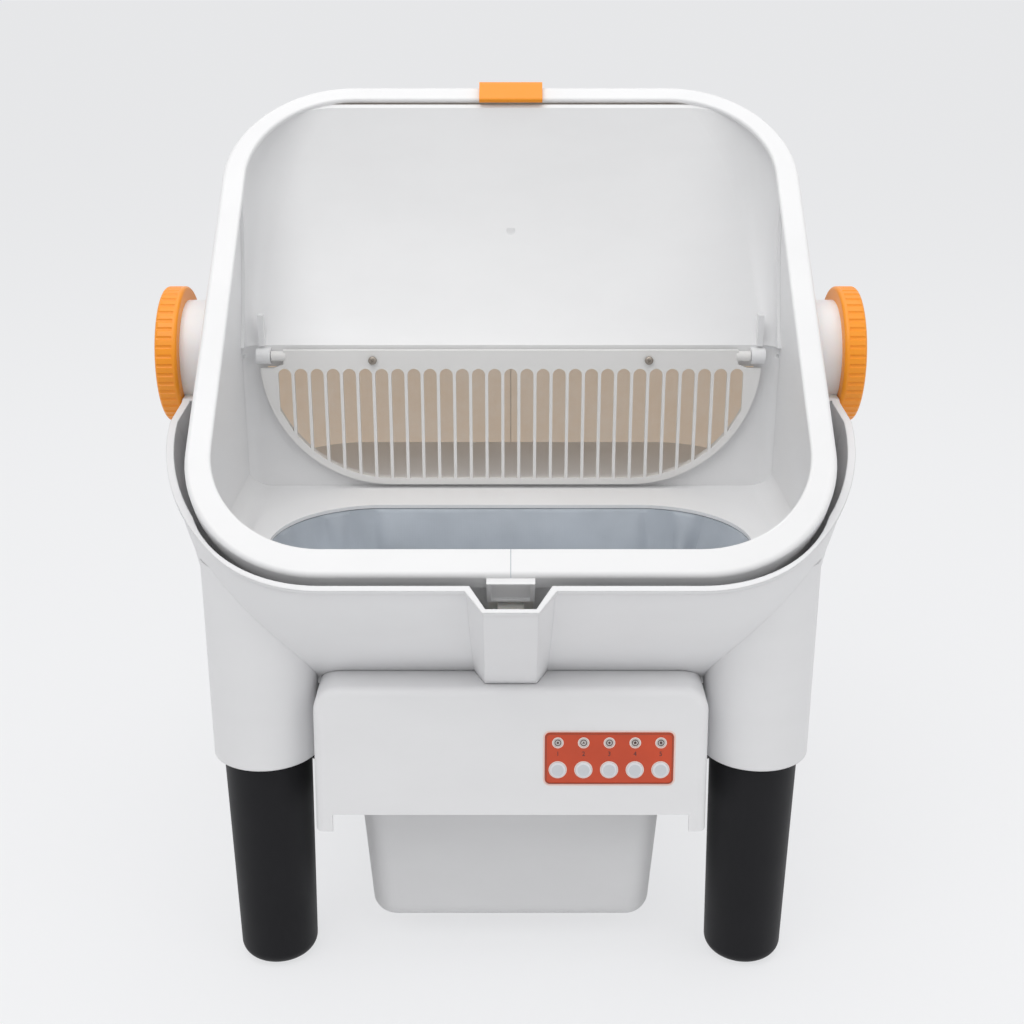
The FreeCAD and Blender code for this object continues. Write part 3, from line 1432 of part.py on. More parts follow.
def waste_bin():
    """The drawer that hangs on the rails by its side flanges."""
    flanges = []
    for side, sign in SIDES:
        low, high = ("bin_top_x - 3", "frame_x - 5.8") if sign > 0 else ("5.8 - frame_x", "3 - bin_top_x")
        flanges.append(
            box(
                "bin_flange_" + side, (low, -130, "149.8 - axis_height"), (high, 118, "152.8 - axis_height")
            )
        )
    pull = box(
        "bin_pull", (-45, "bin_front - 8", "150 - axis_height"), (45, "bin_front + 4", "153 - axis_height")
    )
    drop = box(
        "bin_pull_drop",
        (-45, "bin_front - 8", "142 - axis_height"),
        (45, "bin_front - 5.5", "153 - axis_height"),
    )
    solid = fuse("bin_solid", [bin_block("bin_outer", 0)] + flanges + [pull, drop])
    finish(cut("waste_bin", solid, [bin_block("bin_inner", 2.5)]), "waste_bin")
    ring = extrude(
        "bag_ring_outer", "top",
        [
            rounded("1 - bin_top_x", "bin_front + 1", "bin_top_x - 1", "bin_back - 1", "bin_corner")
        ], "1.5", "bin_top - axis_height",
    )
    skirt = extrude(
        "bag_ring_skirt", "top",
        [
            rounded(
                "3.7 - bin_top_x", "bin_front + 3.7", "bin_top_x - 3.7", "bin_back - 3.7", "bin_corner - 2"
            )
        ],
        "9", "bin_top - 8 - axis_height",
    )
    hole = extrude(
        "bag_ring_hole", "top",
        [
            rounded(
                "5.7 - bin_top_x", "bin_front + 5.7", "bin_top_x - 5.7", "bin_back - 5.7", "bin_corner - 4"
            )
        ],
        "30", "bin_top - 20 - axis_height",
    )
    finish(cut("bag_ring", fuse("bag_ring_solid", [ring, skirt]), [hole]), "bag_ring")


def rail_screw_set():
    screws = []
    for side, sign in SIDES:
        toward = "x" if sign > 0 else "-x"
        for i, y in enumerate((-100, 10, 120)):
            start = ("%d * (frame_x - wall - 2.4)" % sign, y, "156.5 - axis_height")
            screws.append(screw("rail_screw_%s_%d" % (side, i), "1.2", "5.3", "2.2", start, toward))
    finish(group("rail_screws", screws), "rail_screws")
    return screws


def bin_rails(rail_screws):
    """Two angle rails inside the frame that carry the bin."""
    for side, sign in SIDES:
        def x(near, far):
            return (near, far) if sign > 0 else ("-(%s)" % far, "-(%s)" % near)

        wall_x = x("frame_x - wall - 2.4", "frame_x - wall")
        shelf_x = x("bin_top_x + 1.5", "frame_x - wall")
        wall = box(
            "rail_wall_" + side,
            (wall_x[0], -125, "frame_bottom - axis_height"),
            (wall_x[1], 150, "160 - axis_height"),
        )
        shelf = box(
            "rail_shelf_" + side,
            (shelf_x[0], -125, "frame_bottom + 1 - axis_height"),
            (shelf_x[1], 150, "149.5 - axis_height"),
        )
        solid = fuse("rail_solid_" + side, [wall, shelf])
        finish(cut("bin_rail_" + side, solid, rail_screws), "bin_rail_" + side)


def power_inlet():
    """The round low-voltage socket in the back of the frame."""
    start = (-100, "frame_back - 14", "185 - axis_height")
    barrel = cylinder("inlet_barrel", "6", "14", start, "y")
    flange = cylinder("inlet_flange", "8", "2", (-100, "frame_back", "185 - axis_height"), "y")
    hole = cylinder("inlet_bore", "2.8", "11", (-100, "frame_back - 8", "185 - axis_height"), "y")
    pin = cylinder("inlet_pin", "1", "9", (-100, "frame_back - 9", "185 - axis_height"), "y")
    socket = cut("inlet_socket", fuse("inlet_solid", [barrel, flange]), [hole])
    finish(fuse("power_inlet", [socket, pin]), "power_inlet")


# Build, check and write


def build():
    fill_sheet()
    hub_screws = hubs()
    knobs()
    track_screws = drive_track()
    tub(hub_screws, track_screws)
    front_clip()
    rear_latch()
    inner_frame()
    liner_ring()
    liner()
    back_wall()
    grate()
    cover_screws = cover_screw_set()
    rail_screws = rail_screw_set()
    finish(turned("motor_screws", motor_screw_set("motor_screw")), "motor_screws")
    motor_drills = turned("motor_drills", motor_screw_set("motor_mount_drill"))
    base_shell([motor_drills])
    under_frame(cover_screws, rail_screws)
    saddle_bushes()
    legs()
    control_cover(cover_screws)
    control_panel()
    drive()
    waste_chute()
    waste_bin()
    bin_rails(rail_screws)
    power_inlet()
    doc.recompute()


def check():
    """Stops the build where an object failed or a piece isn't a sound solid."""
    for item in doc.Objects:
        if "Invalid" in item.State or "Error" in item.State:
            raise RuntimeError("%s failed" % item.Name)
    for item in nodes:
        if item.Shape.isNull() or not item.Shape.isValid() or not item.Shape.Solids:
            raise RuntimeError("%s isn't a sound solid" % item.Label)


def write():
    os.makedirs("parts", exist_ok=True)
    for item in nodes:
        item.Shape.exportStep("parts/%s.step" % item.Label)


build()
check()
write()
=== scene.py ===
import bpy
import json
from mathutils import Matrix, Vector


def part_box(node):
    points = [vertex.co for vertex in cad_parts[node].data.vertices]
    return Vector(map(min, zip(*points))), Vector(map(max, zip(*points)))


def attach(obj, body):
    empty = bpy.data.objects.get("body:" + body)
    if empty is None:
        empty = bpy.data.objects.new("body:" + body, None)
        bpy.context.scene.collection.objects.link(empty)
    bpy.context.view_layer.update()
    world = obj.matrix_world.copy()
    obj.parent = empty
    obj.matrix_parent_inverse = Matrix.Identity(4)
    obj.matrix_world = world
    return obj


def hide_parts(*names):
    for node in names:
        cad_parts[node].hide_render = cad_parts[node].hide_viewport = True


bl_info = {
    "name": "Self-cleaning litter box",
    "version": (1, 0, 0),
    "blender": (4, 5, 0),
    "location": "View3D > Sidebar > Litter Box",
    "description": "Finishes the moulded parts of a litter box and adds its soft liner, marks and screws",
    "category": "Object",
}

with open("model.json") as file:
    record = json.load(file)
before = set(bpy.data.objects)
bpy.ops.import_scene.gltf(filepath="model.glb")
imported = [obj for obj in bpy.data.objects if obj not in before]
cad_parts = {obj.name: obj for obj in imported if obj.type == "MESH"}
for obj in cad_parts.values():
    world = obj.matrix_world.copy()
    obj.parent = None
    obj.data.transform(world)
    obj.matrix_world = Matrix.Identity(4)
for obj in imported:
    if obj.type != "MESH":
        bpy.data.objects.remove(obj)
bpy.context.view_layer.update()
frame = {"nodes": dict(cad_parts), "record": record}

import json
import math

import bmesh
import bpy
from bpy.props import FloatProperty, FloatVectorProperty, IntProperty, PointerProperty
from mathutils import Matrix, Vector

# The tub's axis: above the floor, and behind the pinion's shaft
AXIS_HEIGHT = 0.48
SHAFT_AHEAD = 0.147
AXIS = Vector((0, (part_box("pinion_shaft")[0].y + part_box("pinion_shaft")[1].y) / 2 + SHAFT_AHEAD, AXIS_HEIGHT))

# The chamber behind the grate, from the tub's axis, where the tub's inner walls get a tan tone in patches and a
# painted glow
CHAMBER_FRONT = 0.066
CHAMBER_TOP = 0.01
CHAMBER_BLEND = 0.014
CHAMBER_FADE = 0.025

# The camera, in front of the tub's axis and above the floor, and its shift in pixels of the photograph
CAMERA_AHEAD = 1.227
CAMERA_HEIGHT = 0.782
CAMERA_SHIFT = 1.2
PHOTO_WIDTH = 1024

# The control panel: the lean of its face, the rows of keys and lamps from its middle, and its printing
FACE_TILT = math.radians(7)
KEY_UP = -0.0093
LAMP_UP = 0.013
PRINT_PROUD = 0.0001
LINE_THICK = 0.00012
KEY_FACE_PROUD = 0.00125
KEY_FACE_RADIUS = 0.0047
KEY_RING = (0.0064, 0.0071)
LAMP_RING = (0.0039, 0.0045)
ICON_RING = (0.0020, 0.0026)
DOT_RADIUS = 0.0009
MARK_RADIUS = 0.0012
NUMBER_SIZE = 0.0052
NUMBER_RISE = 0.0019
ROUND_CORNERS = 40

# The screws that show
GRATE_SCREW_RADIUS = 0.0038
COVER_SCREW_RADIUS = 0.0024
SCREW_REACH = 0.014

# The liner: its edge below the top of its solid, its corners, how far cloth may move as it hangs, the depth
# down to which it is held, and where down the wall its pleats and folds grow and fade
LINER_EDGE_DROP = 0.0008
LINER_CORNER = 0.096
LINER_SAG_LIMIT = 0.009
HELD_DEPTH = 0.003
SAG_FRAMES = 24
FOLDS_START = 0.004
FOLDS_GROWTH = 0.03
FOLDS_END = 0.081
FOLDS_FADE = 0.02

# The liner's rings from its edge to its floor: how far each stands in at the sides, the front and the back,
# how much tighter its corners are, and how far it lies below the edge
LINER_PROFILE = [
    (0, 0, 0, 0, 0), (0.004, 0.004, 0.004, 0.004, 0.0002), (0.0075, 0.0075, 0.0075, 0.0075, 0.0006),
    (0.009, 0.0095, 0.0088, 0.009, 0.004), (0.0105, 0.014, 0.0098, 0.011, 0.012),
    (0.0125, 0.020, 0.0108, 0.015, 0.024), (0.0155, 0.028, 0.0125, 0.019, 0.035),
    (0.0205, 0.039, 0.0155, 0.025, 0.046), (0.0275, 0.052, 0.020, 0.033, 0.056),
    (0.037, 0.067, 0.0265, 0.044, 0.0645), (0.050, 0.083, 0.035, 0.057, 0.0715),
    (0.066, 0.100, 0.046, 0.071, 0.0765), (0.088, 0.108, 0.062, 0.080, 0.0795),
    (0.118, 0.112, 0.074, 0.082, 0.081), (0.150, 0.1145, 0.084, 0.084, 0.0816),
]


# Sizes and colours a user may change


def colour(name, note, default):
    return FloatVectorProperty(
        name=name, description=note, subtype="COLOR", size=3, min=0, max=1, default=default
    )


def length(name, note, default):
    return FloatProperty(name=name, description=note, unit="LENGTH", subtype="DISTANCE", default=default)


class LitterBoxPlastics(bpy.types.PropertyGroup):
    """Colours of the hard parts"""

    white: colour("Glossy white", "Tub, hubs, inner frame and grate", (0.83, 0.83, 0.835))
    base: colour("Base white", "Hull, sleeves, cover and bin", (0.80, 0.80, 0.81))
    grip: colour("Orange", "Handwheels and rear latch", (0.92, 0.31, 0.008))
    leg: colour("Leg black", "Legs below their sleeves", (0.009, 0.009, 0.011))
    panel: colour("Panel red", "Control panel plate", (0.60, 0.058, 0.009))


class LitterBoxLiner(bpy.types.PropertyGroup):
    """The soft liner in the bottom of the tub"""

    tint: colour("Liner grey", "Colour of the coated cloth", (0.44, 0.48, 0.53))
    wall: length("Thickness", "Thickness of the coated cloth", 0.0014)
    around: IntProperty(
        name="Points around", description="Points along the liner's mouth", default=224, min=64, max=400
    )
    pleat: length("Pleat depth", "How far each corner pleat stands in", 0.0065)
    slack: FloatProperty(
        name="Slack", description="Extra cloth that hangs in folds", default=0.03, min=0, max=0.1
    )


class LitterBoxStudio(bpy.types.PropertyGroup):
    """Camera and light"""

    camera_place: FloatVectorProperty(
        name="Camera", description="Camera position", subtype="TRANSLATION", size=3,
        default=(0, AXIS.y - CAMERA_AHEAD, CAMERA_HEIGHT),
    )
    camera_drop: FloatProperty(
        name="Camera drop", description="Angle below level", subtype="ANGLE", default=math.radians(20)
    )
    lens: FloatProperty(name="Lens", description="Focal length in millimetres", default=51.4)
    floor: colour("Floor", "Colour of the floor", (0.9, 0.905, 0.915))


# Small steps shared by the pieces


def only(thing):
    """Leaves one object selected and active."""
    bpy.ops.object.select_all(action="DESELECT")
    thing.select_set(True)
    bpy.context.view_layer.objects.active = thing
    return thing


def named(name):
    piece = bpy.context.object
    piece.name = name
    piece.data.name = name
    return piece


def bake_place(piece):
    only(piece)
    bpy.ops.object.transform_apply(location=True, rotation=True, scale=True)
    return piece


def apply_all(piece):
    only(piece)
    for modifier in list(piece.modifiers):
        bpy.ops.object.modifier_apply(modifier=modifier.name)
    return piece


def smooth(piece, angle=40):
    only(piece)
    bpy.ops.object.shade_smooth_by_angle(angle=math.radians(angle))
    return piece


def join(pieces, name):
    bpy.ops.object.select_all(action="DESELECT")
    for piece in pieces:
        piece.select_set(True)
    bpy.context.view_layer.objects.active = pieces[0]
    bpy.ops.object.join()
    return named(name)


def aimed(place, direction):
    """A place whose own Z looks along the direction."""
    turn = Vector(direction).to_track_quat("Z", "Y").to_matrix().to_4x4()
    return Matrix.Translation(place) @ turn


def pick(piece, mode, test):
    """In edit mode, selects the faces or edges that pass the test."""
    bpy.ops.mesh.select_mode(type=mode)
    bpy.ops.mesh.select_all(action="DESELECT")
    shape = bmesh.from_edit_mesh(piece.data)
    shape.normal_update()
    for part in shape.faces if mode == "FACE" else shape.edges:
        part.select_set(test(part))
    bmesh.update_edit_mesh(piece.data)


# Finishes


class Finish:
    """Builds one procedural material on a Principled shader."""

    def __init__(self, name, base, rough, **sockets):
        self.material = bpy.data.materials.new(name)
        self.material.use_nodes = True
        self.tree = self.material.node_tree
        self.shader = self.tree.nodes["Principled BSDF"]
        self.base = tuple(base) + (1,)
        self.shader.inputs["Base Color"].default_value = self.base
        self.shader.inputs["Roughness"].default_value = rough
        for socket, amount in sockets.items():
            self.shader.inputs[socket.replace("_", " ")].default_value = amount
        self.coordinates = self.add("ShaderNodeTexCoord").outputs["Object"]
        self.normal = None
        self.colour = None

    def add(self, kind, **settings):
        node = self.tree.nodes.new(kind)
        for key, amount in settings.items():
            setattr(node, key, amount)
        return node

    def join(self, start, end):
        self.tree.links.new(start, end)

    def noise(self, scale, detail=2, rough=0.5, stretch=None):
        node = self.add("ShaderNodeTexNoise")
        node.inputs["Scale"].default_value = scale
        node.inputs["Detail"].default_value = detail
        node.inputs["Roughness"].default_value = rough
        source = self.coordinates
        if stretch:
            mapping = self.add("ShaderNodeMapping")
            mapping.inputs["Scale"].default_value = stretch
            self.join(source, mapping.inputs["Vector"])
            source = mapping.outputs["Vector"]
        self.join(source, node.inputs["Vector"])
        return node.outputs["Fac"]

    def remap(self, source, low, high, start=0.35, end=0.65):
        node = self.add("ShaderNodeMapRange")
        for socket, amount in zip(("From Min", "From Max", "To Min", "To Max"), (start, end, low, high)):
            node.inputs[socket].default_value = amount
        self.join(source, node.inputs["Value"])
        return node.outputs["Result"]

    def round_edges(self, radius):
        """Softens the moulded edges in the shading."""
        node = self.add("ShaderNodeBevel", samples=4)
        node.inputs["Radius"].default_value = radius
        self.normal = node.outputs["Normal"]
        self.join(self.normal, self.shader.inputs["Normal"])

    def bump(self, source, strength, depth=0.0002):
        node = self.add("ShaderNodeBump")
        node.inputs["Strength"].default_value = strength
        node.inputs["Distance"].default_value = depth
        self.join(source, node.inputs["Height"])
        if self.normal:
            self.join(self.normal, node.inputs["Normal"])
        self.normal = node.outputs["Normal"]
        self.join(self.normal, self.shader.inputs["Normal"])

    def rough(self, source, low, high):
        self.join(self.remap(source, low, high), self.shader.inputs["Roughness"])

    def tint(self, source, other, low=0.0, high=1.0, start=0.35, end=0.65):
        """Mixes another colour in by a pattern."""
        node = self.add("ShaderNodeMix", data_type="RGBA")
        node.inputs["A"].default_value = self.base
        node.inputs["B"].default_value = tuple(other) + (1,)
        self.join(self.remap(source, low, high, start, end), node.inputs["Factor"])
        self.join(node.outputs["Result"], self.shader.inputs["Base Color"])
        self.colour = node.outputs["Result"]

    def times(self, first, second):
        node = self.add("ShaderNodeMath", operation="MULTIPLY")
        self.join(first, node.inputs[0])
        self.join(second, node.inputs[1])
        return node.outputs["Value"]

    def facing_in(self):
        """1 on the tub's inner walls, which face its axis, and 0 on the outer ones."""
        place = self.add("ShaderNodeVectorMath", operation="SUBTRACT")
        self.join(self.coordinates, place.inputs[0])
        place.inputs[1].default_value = AXIS
        outward = self.add("ShaderNodeVectorMath", operation="DOT_PRODUCT")
        self.join(place.outputs["Vector"], outward.inputs[0])
        self.join(self.coordinates.node.outputs["Normal"], outward.inputs[1])
        return self.remap(outward.outputs["Value"], 1, 0, start=-0.06, end=-0.02)

    def dusted(self, tone):
        """A tan tone in patches on the inner walls of the chamber behind the grate, and a painted glow there that
        stands in for light let in by the thin wall.
        """
        place = self.add("ShaderNodeSeparateXYZ")
        self.join(self.coordinates, place.inputs["Vector"])
        front, top = AXIS.y + CHAMBER_FRONT, AXIS.z + CHAMBER_TOP
        behind = self.remap(place.outputs["Y"], 0, 1, start=front, end=front + CHAMBER_BLEND)
        under = self.remap(place.outputs["Z"], 1, 0, start=top - CHAMBER_FADE, end=top)
        chamber = self.times(self.times(behind, under), self.facing_in())
        # A tan tone in patches on the chamber's inner walls
        patches = self.remap(self.noise(scale=18, detail=5, rough=0.65), 0.55, 0.95)
        node = self.add("ShaderNodeMix", data_type="RGBA")
        self.join(self.times(chamber, patches), node.inputs["Factor"])
        self.join(self.colour, node.inputs["A"])
        node.inputs["B"].default_value = tuple(tone) + (1,)
        self.join(node.outputs["Result"], self.shader.inputs["Base Color"])
        # Painted glow: a dim tan emission on the chamber's walls stands in for light let in by the thin wall; the
        # plastic is no lamp
        painted_glow = self.add("ShaderNodeMix", data_type="RGBA")
        self.join(chamber, painted_glow.inputs["Factor"])
        painted_glow.inputs["A"].default_value = (0, 0, 0, 1)
        painted_glow.inputs["B"].default_value = shade(tone, 0.3) + (1,)
        self.join(painted_glow.outputs["Result"], self.shader.inputs["Emission Color"])
        self.shader.inputs["Emission Strength"].default_value = 1.0


def shade(base, share):
    return tuple(channel * share for channel in base)


def moulded(name, base, rough, grain=1400, edge=0, depth=0.00004, chamber_tan=None, **sockets):
    """Injection moulded plastic: fine grain, faint flow marks and a slightly uneven gloss."""
    made = Finish(name, base, rough, **sockets)
    flow = made.noise(scale=9, detail=4, rough=0.55, stretch=(1, 1, 2.5))
    made.tint(flow, shade(base, 0.97), 0, 0.8)
    # The tan tone in patches and the painted glow in the chamber behind the grate
    if chamber_tan:
        made.dusted(chamber_tan)
    made.rough(made.noise(scale=26, detail=2), rough - 0.02, rough + 0.03)
    if edge:
        made.round_edges(edge)
    made.bump(made.noise(scale=grain), 0.3, depth)
    return made.material


def coated_cloth(name, base, rough):
    """The liner's coated cloth: a close weave under a soft coating."""
    made = Finish(name, base, rough, Sheen_Weight=0.25, Sheen_Roughness=0.5)
    made.tint(made.noise(scale=14, detail=4), shade(base, 0.86))
    made.rough(made.noise(scale=60, detail=3), rough - 0.08, rough + 0.08)
    weave = []
    for stretch in ((1, 0.02, 0.02), (0.02, 1, 1)):
        mapping = made.add("ShaderNodeMapping")
        mapping.inputs["Scale"].default_value = stretch
        made.join(made.coordinates, mapping.inputs["Vector"])
        wave = made.add("ShaderNodeTexWave", bands_direction="DIAGONAL")
        wave.inputs["Scale"].default_value = 260
        wave.inputs["Distortion"].default_value = 0.6
        made.join(mapping.outputs["Vector"], wave.inputs["Vector"])
        weave.append(wave.outputs["Fac"])
    threads = made.add("ShaderNodeMath", operation="MAXIMUM")
    made.join(weave[0], threads.inputs[0])
    made.join(weave[1], threads.inputs[1])
    made.bump(threads.outputs["Value"], 0.25, 0.0001)
    made.bump(made.noise(scale=45, detail=4), 0.3, 0.0008)
    return made.material


def rubber(name, base, rough):
    made = Finish(name, base, rough)
    made.tint(made.noise(scale=90, detail=4), tuple(channel + 0.02 for channel in base), 0, 0.6)
    made.bump(made.noise(scale=900, detail=3), 0.5, 0.00008)
    return made.material


def metal(name, base, rough, stretch=(1, 1, 12)):
    """Drawn or turned metal with fine lines."""
    made = Finish(name, base, rough, Metallic=1.0)
    lines = made.noise(scale=700, detail=3, rough=0.6, stretch=stretch)
    made.rough(lines, rough - 0.08, rough + 0.12)
    made.tint(made.noise(scale=120, detail=3), shade(base, 0.8))
    made.bump(lines, 0.25, 0.00004)
    return made.material


def printed_film(name, base, rough):
    """The panel's printed film under a clear coat."""
    made = Finish(name, base, rough, Coat_Weight=0.2, Coat_Roughness=0.2)
    made.tint(made.noise(scale=30, detail=3), shade(base, 0.9))
    made.rough(made.noise(scale=240, detail=3), rough - 0.05, rough + 0.06)
    made.bump(made.noise(scale=1100, detail=2), 0.2, 0.00003)
    return made.material


def circuit_lacquer(name, base, rough):
    """Green lacquer over copper tracks."""
    made = Finish(name, base, rough, Coat_Weight=0.4)
    cells = made.add("ShaderNodeTexBrick")
    cells.inputs["Scale"].default_value = 160
    cells.inputs["Color1"].default_value = tuple(base) + (1,)
    cells.inputs["Color2"].default_value = shade(base, 0.7) + (1,)
    cells.inputs["Mortar"].default_value = (0.05, 0.3, 0.12, 1)
    made.join(made.coordinates, cells.inputs["Vector"])
    made.join(cells.outputs["Color"], made.shader.inputs["Base Color"])
    made.bump(cells.outputs["Fac"], 0.3, 0.00004)
    return made.material


def lens_plastic(name, base, rough):
    """Milky clear plastic over an indicator lamp."""
    made = Finish(name, base, rough, Transmission_Weight=0.15, IOR=1.49, Coat_Weight=0.5)
    made.tint(made.noise(scale=400, detail=2), shade(base, 0.93))
    made.bump(made.noise(scale=1500, detail=2), 0.15, 0.00003)
    return made.material


def all_finishes():
    """One material for each slot of the record."""
    plastics = bpy.context.scene.litter_box_plastics
    white, base = tuple(plastics.white), tuple(plastics.base)
    grip, leg, panel = tuple(plastics.grip), tuple(plastics.leg), tuple(plastics.panel)
    liner = tuple(bpy.context.scene.litter_box_liner.tint)
    return {
        # The tub's chamber behind the grate gets a tan tone in patches and a painted glow
        "shell_white": moulded("tub_white", white, 0.36, chamber_tan=(0.74, 0.62, 0.50)),
        "hub_white": moulded("hub_white", white, 0.33, Subsurface_Weight=0.1, Subsurface_Scale=0.004),
        "frame_white": moulded("inner_frame_white", shade(white, 0.99), 0.36),
        "grate_white": moulded("grate_white", (0.81, 0.80, 0.785), 0.38),
        "base_white": moulded("base_white", base, 0.42, grain=1100, edge=0.0016, depth=0.00006),
        "cover_white": moulded("cover_white", shade(base, 1.02), 0.45, grain=1000, depth=0.00007),
        "bin_white": moulded("bin_white", shade(base, 0.97), 0.5, grain=900, depth=0.00007),
        "liner_grey": coated_cloth("liner_cloth", liner, 0.55),
        "orange": moulded("grip_orange", grip, 0.36, grain=1300),
        "gear_nylon": moulded(
            "nylon", (0.72, 0.71, 0.67), 0.42, Subsurface_Weight=0.1, Subsurface_Scale=0.003
        ),
        "leg_black": moulded("leg_black", leg, 0.5, grain=1000, depth=0.00006, Specular_IOR_Level=0.2),
        "pad_rubber": rubber("foot_rubber", (0.012, 0.012, 0.013), 0.8),
        "panel_red": printed_film("panel_film", panel, 0.35),
        "button_white": moulded("button_white", (0.76, 0.76, 0.79), 0.3, grain=1500, Coat_Weight=0.3),
        "lens_white": lens_plastic("lamp_lens", (0.83, 0.80, 0.77), 0.22),
        "board_green": circuit_lacquer("board_lacquer", (0.02, 0.16, 0.06), 0.3),
        "switch_black": moulded("switch_black", (0.015, 0.015, 0.016), 0.5),
        "motor_steel": metal("motor_can", (0.55, 0.55, 0.56), 0.35),
        "steel": metal("bright_steel", (0.58, 0.58, 0.59), 0.28),
        "bush_brass": metal("sintered_brass", (0.6, 0.42, 0.16), 0.42),
    }


def seen_directly(tree):
    """One where the camera, a mirror or glass looks at the surface, and nought where light bounces."""
    rays = tree.nodes.new("ShaderNodeLightPath")
    share = rays.outputs["Is Camera Ray"]
    for name in ("Is Glossy Ray", "Is Transmission Ray"):
        either = tree.nodes.new("ShaderNodeMath")
        either.operation = "MAXIMUM"
        tree.links.new(share, either.inputs[0])
        tree.links.new(rays.outputs[name], either.inputs[1])
        share = either.outputs[0]
    return share


def stage_material(name, tone, glow, lit):
    """Floor paper: partly lit, so that it keeps the shadow, and partly seen in its own pale colour."""
    material = bpy.data.materials.new(name)
    material.use_nodes = True
    tree = material.node_tree
    paper = tree.nodes["Principled BSDF"]
    paper.inputs["Base Color"].default_value = tuple(tone) + (1,)
    paper.inputs["Roughness"].default_value = 0.9
    paper.inputs["Specular IOR Level"].default_value = 0
    pale = tree.nodes.new("ShaderNodeEmission")
    pale.inputs["Color"].default_value = tuple(glow) + (1,)
    share = tree.nodes.new("ShaderNodeMath")
    share.operation = "MULTIPLY"
    share.inputs[1].default_value = 1 - lit
    mix = tree.nodes.new("ShaderNodeMixShader")
    tree.links.new(seen_directly(tree), share.inputs[0])
    tree.links.new(share.outputs[0], mix.inputs["Fac"])
    tree.links.new(paper.outputs[0], mix.inputs[1])
    tree.links.new(pale.outputs[0], mix.inputs[2])
    tree.links.new(mix.outputs[0], tree.nodes["Material Output"].inputs["Surface"])
    return material


# Operators: one for each piece or group of like pieces


class LITTERBOX_OT_finishes(bpy.types.Operator):
    """Gives every moulded and metal part its finish"""

    bl_idname = "litterbox.finishes"
    bl_label = "Finish the parts"

    def execute(self, context):
        made = all_finishes()
        slots = {part["node"]: part["material_slot"] for part in frame["record"]["subparts"]}
        for node, part in frame["nodes"].items():
            finish = made[slots[node]]
            if part.material_slots:
                for slot in part.material_slots:
                    slot.material = finish
            else:
                part.data.materials.append(finish)
            part.cycles.shadow_terminator_geometry_offset = 0.4
            part.cycles.shadow_terminator_offset = 0.15
        return {"FINISHED"}


class LITTERBOX_OT_liner(bpy.types.Operator):
    """Hangs the soft liner from its ring and lets it sag"""

    bl_idname = "litterbox.liner"
    bl_label = "Liner"

    def execute(self, context):
        settings = context.scene.litter_box_liner
        cloth = liner_mesh(settings)
        sag(cloth, settings)
        cloth.modifiers.new("wall", "SOLIDIFY").thickness = settings.wall
        cloth.modifiers["wall"].offset = 0
        apply_all(cloth)
        smooth(cloth, 60)
        cloth.data.materials.append(bpy.data.materials["liner_cloth"])
        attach(cloth, "tub")
        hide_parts("liner")
        liner_cut()
        return {"FINISHED"}


def rounded_ring(wide, front, back, corner, count):
    """Points round a rounded rectangle, starting at the middle of the back, with the direction out of it."""
    corner = min(corner, wide - 0.002, (back - front) / 2 - 0.002)
    centres = [
        (wide - corner, back - corner, 90), (wide - corner, front + corner, 0),
        (corner - wide, front + corner, -90), (corner - wide, back - corner, -180),
    ]
    pieces = []
    for x, y, start in centres:
        arc = []
        for step in range(count // 8 + 1):
            angle = math.radians(start - 90 * step / (count // 8))
            arc.append((Vector((x + corner * math.cos(angle), y + corner * math.sin(angle), 0)), angle))
        pieces.append(arc)
    points = []
    for i, arc in enumerate(pieces):
        following = pieces[(i + 1) % 4]
        points += arc[:-1]
        start, end = arc[-1][0], following[0][0]
        for step in range(count // 8):
            points.append((start.lerp(end, step / (count // 8)), arc[-1][1]))
    return points


def clamped(share):
    return min(max(share, 0), 1)


def liner_mesh(settings):
    """The liner as it is cut and welded: a flange, four walls with a pleat at each corner, and a floor."""
    low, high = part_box("liner")
    middle = (low.x + high.x) / 2
    top = high.z - LINER_EDGE_DROP
    wide, front, back = (high.x - low.x) / 2, low.y, high.y
    shape = bmesh.new()
    rings = []
    for side, ahead, behind, turn, drop in LINER_PROFILE:
        ring = []
        points = rounded_ring(wide - side, front + ahead, back - behind, LINER_CORNER - turn, settings.around)
        share = clamped((drop - FOLDS_START) / FOLDS_GROWTH) * clamped((FOLDS_END - drop) / FOLDS_FADE)
        for i, (point, angle) in enumerate(points):
            inward = -Vector((math.cos(angle), math.sin(angle), 0))
            pleat = pleat_at(i / len(points), settings.pleat) * share + fold_at(point.x, drop) * share
            place = point + inward * pleat + Vector((middle, 0, top - drop))
            ring.append(shape.verts.new(place))
        rings.append(ring)
    for outer, inner in zip(rings, rings[1:]):
        for i in range(len(outer)):
            j = (i + 1) % len(outer)
            shape.faces.new((outer[i], outer[j], inner[j], inner[i]))
    last = rings[-1]
    centre = sum((v.co for v in last), Vector()) / len(last)
    hub = shape.verts.new(centre - Vector((0, 0, 0.0002)))
    for i in range(len(last)):
        shape.faces.new((last[i], last[(i + 1) % len(last)], hub))
    bmesh.ops.recalc_face_normals(shape, faces=shape.faces)
    mesh = bpy.data.meshes.new("liner_bag")
    shape.to_mesh(mesh)
    shape.free()
    cloth = bpy.data.objects.new("liner_bag", mesh)
    bpy.context.collection.objects.link(cloth)
    pinned = cloth.vertex_groups.new(name="held")
    held = [v.index for v in mesh.vertices if v.co.z > top - HELD_DEPTH]
    pinned.add(held, 1.0, "REPLACE")
    return cloth


